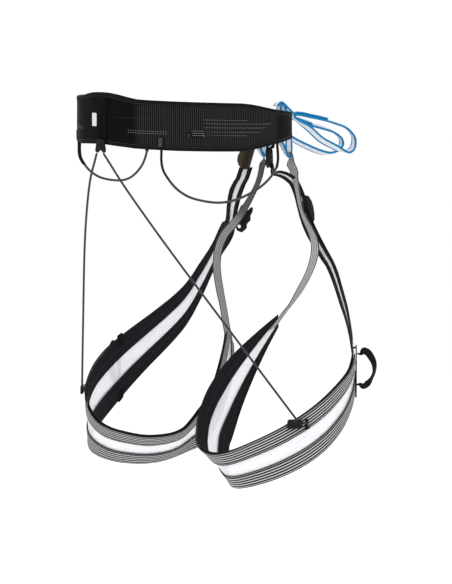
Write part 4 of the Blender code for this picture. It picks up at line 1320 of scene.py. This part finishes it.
for word, side in SIDES:
    leg = f"{word}_leg"
    place, face, up = plate_pose(f"{leg}_hook", HOOK_FACE)
    face = unit(face + HOOK_FACE * 0.5)
    beside, above, higher, wide, tall, lean = HOOK_SHIFT[word]
    place = place + (LEFTWARD * beside + face * above + up * higher) * MM
    up = np.array(Matrix.Rotation(math.radians(lean), 3, Vector(face)) @ Vector(up))
    flip = -1 if word == "left" else 1
    outlines = [[(flip * x * wide, y * tall) for x, y in HOOK_OUTLINE[word]][::flip]]
    if word == "left":
        outlines.append(ring_hole(2.2, flip * 1.6, -9.6 * tall))
    hook = ribbed_block(f"{word}_clip_hook", outlines, 3.6, 0.8, HOOK_RIBS, 4.8, 0.5, (place, face, up),
                        PLASTIC)
    fit(hook, f"{word}_hook", "black_plastic", f"{leg}_hook")
    # a short webbing loop, sewn to the front webbing, holds the hook
    root = front_line[word][np.argmin(np.linalg.norm(front_line[word] - place, axis=1))]
    line = np.array([root * (1 - share) + place * share - face * off * MM
                     for share, off in ((0, 0), (0.35, 0.8), (0.7, 1.0), (1, 0.5))])
    loop = cut_tape(f"{word}_hook_loop", line + up * 3.5 * MM, line - up * 3.5 * MM, 24, 1.4, WEBBING,
                    outward=face, inner=4)
    bend(loop, (leg, f"{word}_hook"), root, place, "black_webbing")

    look, slot = TOGGLE_LOOK[word]
    place, face, up = plate_pose(f"{leg}_toggle", (side * 0.743, -0.669, 0), UP)
    if word == "right":
        place = place + (LEFTWARD * 3.5 + up * 2.5) * MM
    slit = rounded(1.8, 5.0, 0.8, -1.5, 7.0)[::-1]
    fit(ribbed_block(f"{word}_toggle_block", [TOGGLE_OUTLINE[word], slit], 4.8, 1.1, TOGGLE_BARS, 6.4, 1.0,
                     (place, face, up), look), "waist", slot, f"{leg}_toggle")
    # the strap's end lies on both faces of the block and carries on up to the belt
    across = unit(np.cross(up, face)) * MM
    tab = box_middle(f"{leg}_toggle_tab")
    tab_top = np.array((*tab[:2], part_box(f"{leg}_toggle_tab")[1].z + 3.0 * MM))
    lacing = []
    for way in (1, -1):
        lace = np.array([place + up * y * MM + across * x + face * way * z * MM for y, x, z in LACE_KNOTS]
                        + [end + face * way * 1.6 * MM for end in (tab, tab_top)])
        lacing.append(cut_tape("lace", lace - across * LACE_HALF, lace + across * LACE_HALF, 60, 1.4,
                               LACING[word], outward=face))
    fit(join(f"{word}_toggle_lacing", lacing), "waist", "black_webbing")

    place, face, up = plate_pose(f"{leg}_riser_plate", (side, -0.4, 0), UP)
    fit(ribbed_block(f"{word}_riser_block", [rounded(18, 11, 2.8), ring_hole(1.6, 0, 2.6)], 2.6, 0.7,
                     PLATE_RIBS, 3.8, 0.5, (place, face, up), PLASTIC), leg, "black_plastic",
        f"{leg}_riser_plate")
    keep = box_middle(f"{leg}_riser_keeper")
    ahead = unit(keep - place)
    tail = [start + (ahead * far + up * high + face * off) * MM for start, far, high, off in
            ((place, 5, 2.0, 0), (place, 9.5, 2.0, 0.6), (keep, 0, 1.0, 0.8), (keep, 3.5, -5.0, 0.3))]
    fit(cord(f"{word}_riser_tail", tail, 1.2, CORD, samples=40), leg, "cord")

# The tab at the back, wide at the top with a foot for each riser
HALF_TAB = [(7, 9), (9.3, 2), (11, -5), (10.2, -7.8), (8, -9), (5.6, -8.8), (4, -7.4)]
TAB_SCALE = 0.85
tab_outline = [HALF_TAB[0]] + [(-x, y) for x, y in HALF_TAB] + [(0, -4.6)] + HALF_TAB[:0:-1]
place, face, up = plate_pose("riser_tab", (0, 1, 0), UP)
place = place + up * 1.6 * MM
fit(moulding("back_tab", [[(x * TAB_SCALE, y * TAB_SCALE) for x, y in tab_outline]], 2.2, 0.7,
             (place, face, up), folded_cloth("tab_cloth")), "waist", "black_webbing", "riser_tab")
marks = []
for x, y, span in ((0, 7.0, 5.5), (0, 5.0, 5.5), (-7.2, -5.4, 3.0), (7.2, -5.4, 3.0)):
    line = [place + (np.cross(up, face) * (x + t * span) + up * y + face * 1.1) * MM
            for t in (-1, -0.5, 0, 0.5, 1)]
    marks.append((np.array(line), np.array([face] * 5)))
fit(stitches("back_tab_stitches", marks, "tab", THREAD_DIM), "waist", "black_webbing")


# Studio: the photograph's camera, a pale floor and soft light

box_low, box_high = (np.array(corner) for corner in cad_box)
# The photograph's middle lies beside the object's own
VIEW_SHIFT = np.array((-45.7, 33.7, -9.3)) * MM
target = Vector((box_low + box_high) / 2 + VIEW_SHIFT)
azimuth, elevation = math.radians(228.0), math.radians(5.3)
back = Vector((math.sin(azimuth) * math.cos(elevation), -math.cos(azimuth) * math.cos(elevation),
               math.sin(elevation)))
right = Vector((back.y, -back.x, 0)).normalized()


def aimed(name, data, place):
    """A camera or lamp that looks at the target."""
    thing = bpy.data.objects.new(name, data)
    thing.location = place
    thing.rotation_mode = "QUATERNION"
    thing.rotation_quaternion = (target - place).to_track_quat("-Z", "Y")
    bpy.context.scene.collection.objects.link(thing)
    return thing


lens = bpy.data.cameras.new("camera")
lens.lens = 126.37
bpy.context.scene.camera = aimed("camera", lens, target + back * 2.5)
# Lamps: metres toward the camera, to its right and up, then size and power
for name, toward, aside, high, size, power in (("key", 1.2, -1.0, 1.3, 1.2, 22.0),
                                               ("fill", 1.0, 1.3, 0.4, 1.4, 9.0),
                                               ("rim", -1.2, 0.6, 1.1, 1.0, 12.0)):
    lamp = bpy.data.lights.new(name, "AREA")
    lamp.size = size
    lamp.energy = power
    aimed(name, lamp, target + back * toward + right * aside + Vector((0, 0, high)))

floor_mesh = bpy.data.meshes.new("floor")
floor_mesh.from_pydata([(-30, -30, 0), (30, -30, 0), (30, 30, 0), (-30, 30, 0)], [], [(0, 1, 2, 3)])
pale = Paint("floor", rough=0.9, specular=0.1)
pale.set("Base Color", pale.mix(pale.noise(3.0), (0.93, 0.93, 0.93), (0.96, 0.96, 0.96)))
pale.set("Emission Color", (1, 1, 1))
pale.set("Emission Strength", 0.3)
floor = add_object("floor", floor_mesh, pale.mat)
floor.location.z = box_low[2] - 0.35

world = bpy.data.worlds.new("studio")
world.use_nodes = True
nodes, links = world.node_tree.nodes, world.node_tree.links
nodes["Background"].inputs["Color"].default_value = (1, 1, 1, 1)
strength = nodes.new("ShaderNodeMapRange")
strength.inputs["To Min"].default_value = 0.75
strength.inputs["To Max"].default_value = 1.05
links.new(nodes.new("ShaderNodeLightPath").outputs["Is Camera Ray"], strength.inputs["Value"])
links.new(strength.outputs[0], nodes["Background"].inputs["Strength"])
bpy.context.scene.world = world
bpy.context.scene.view_settings.view_transform = "Standard"
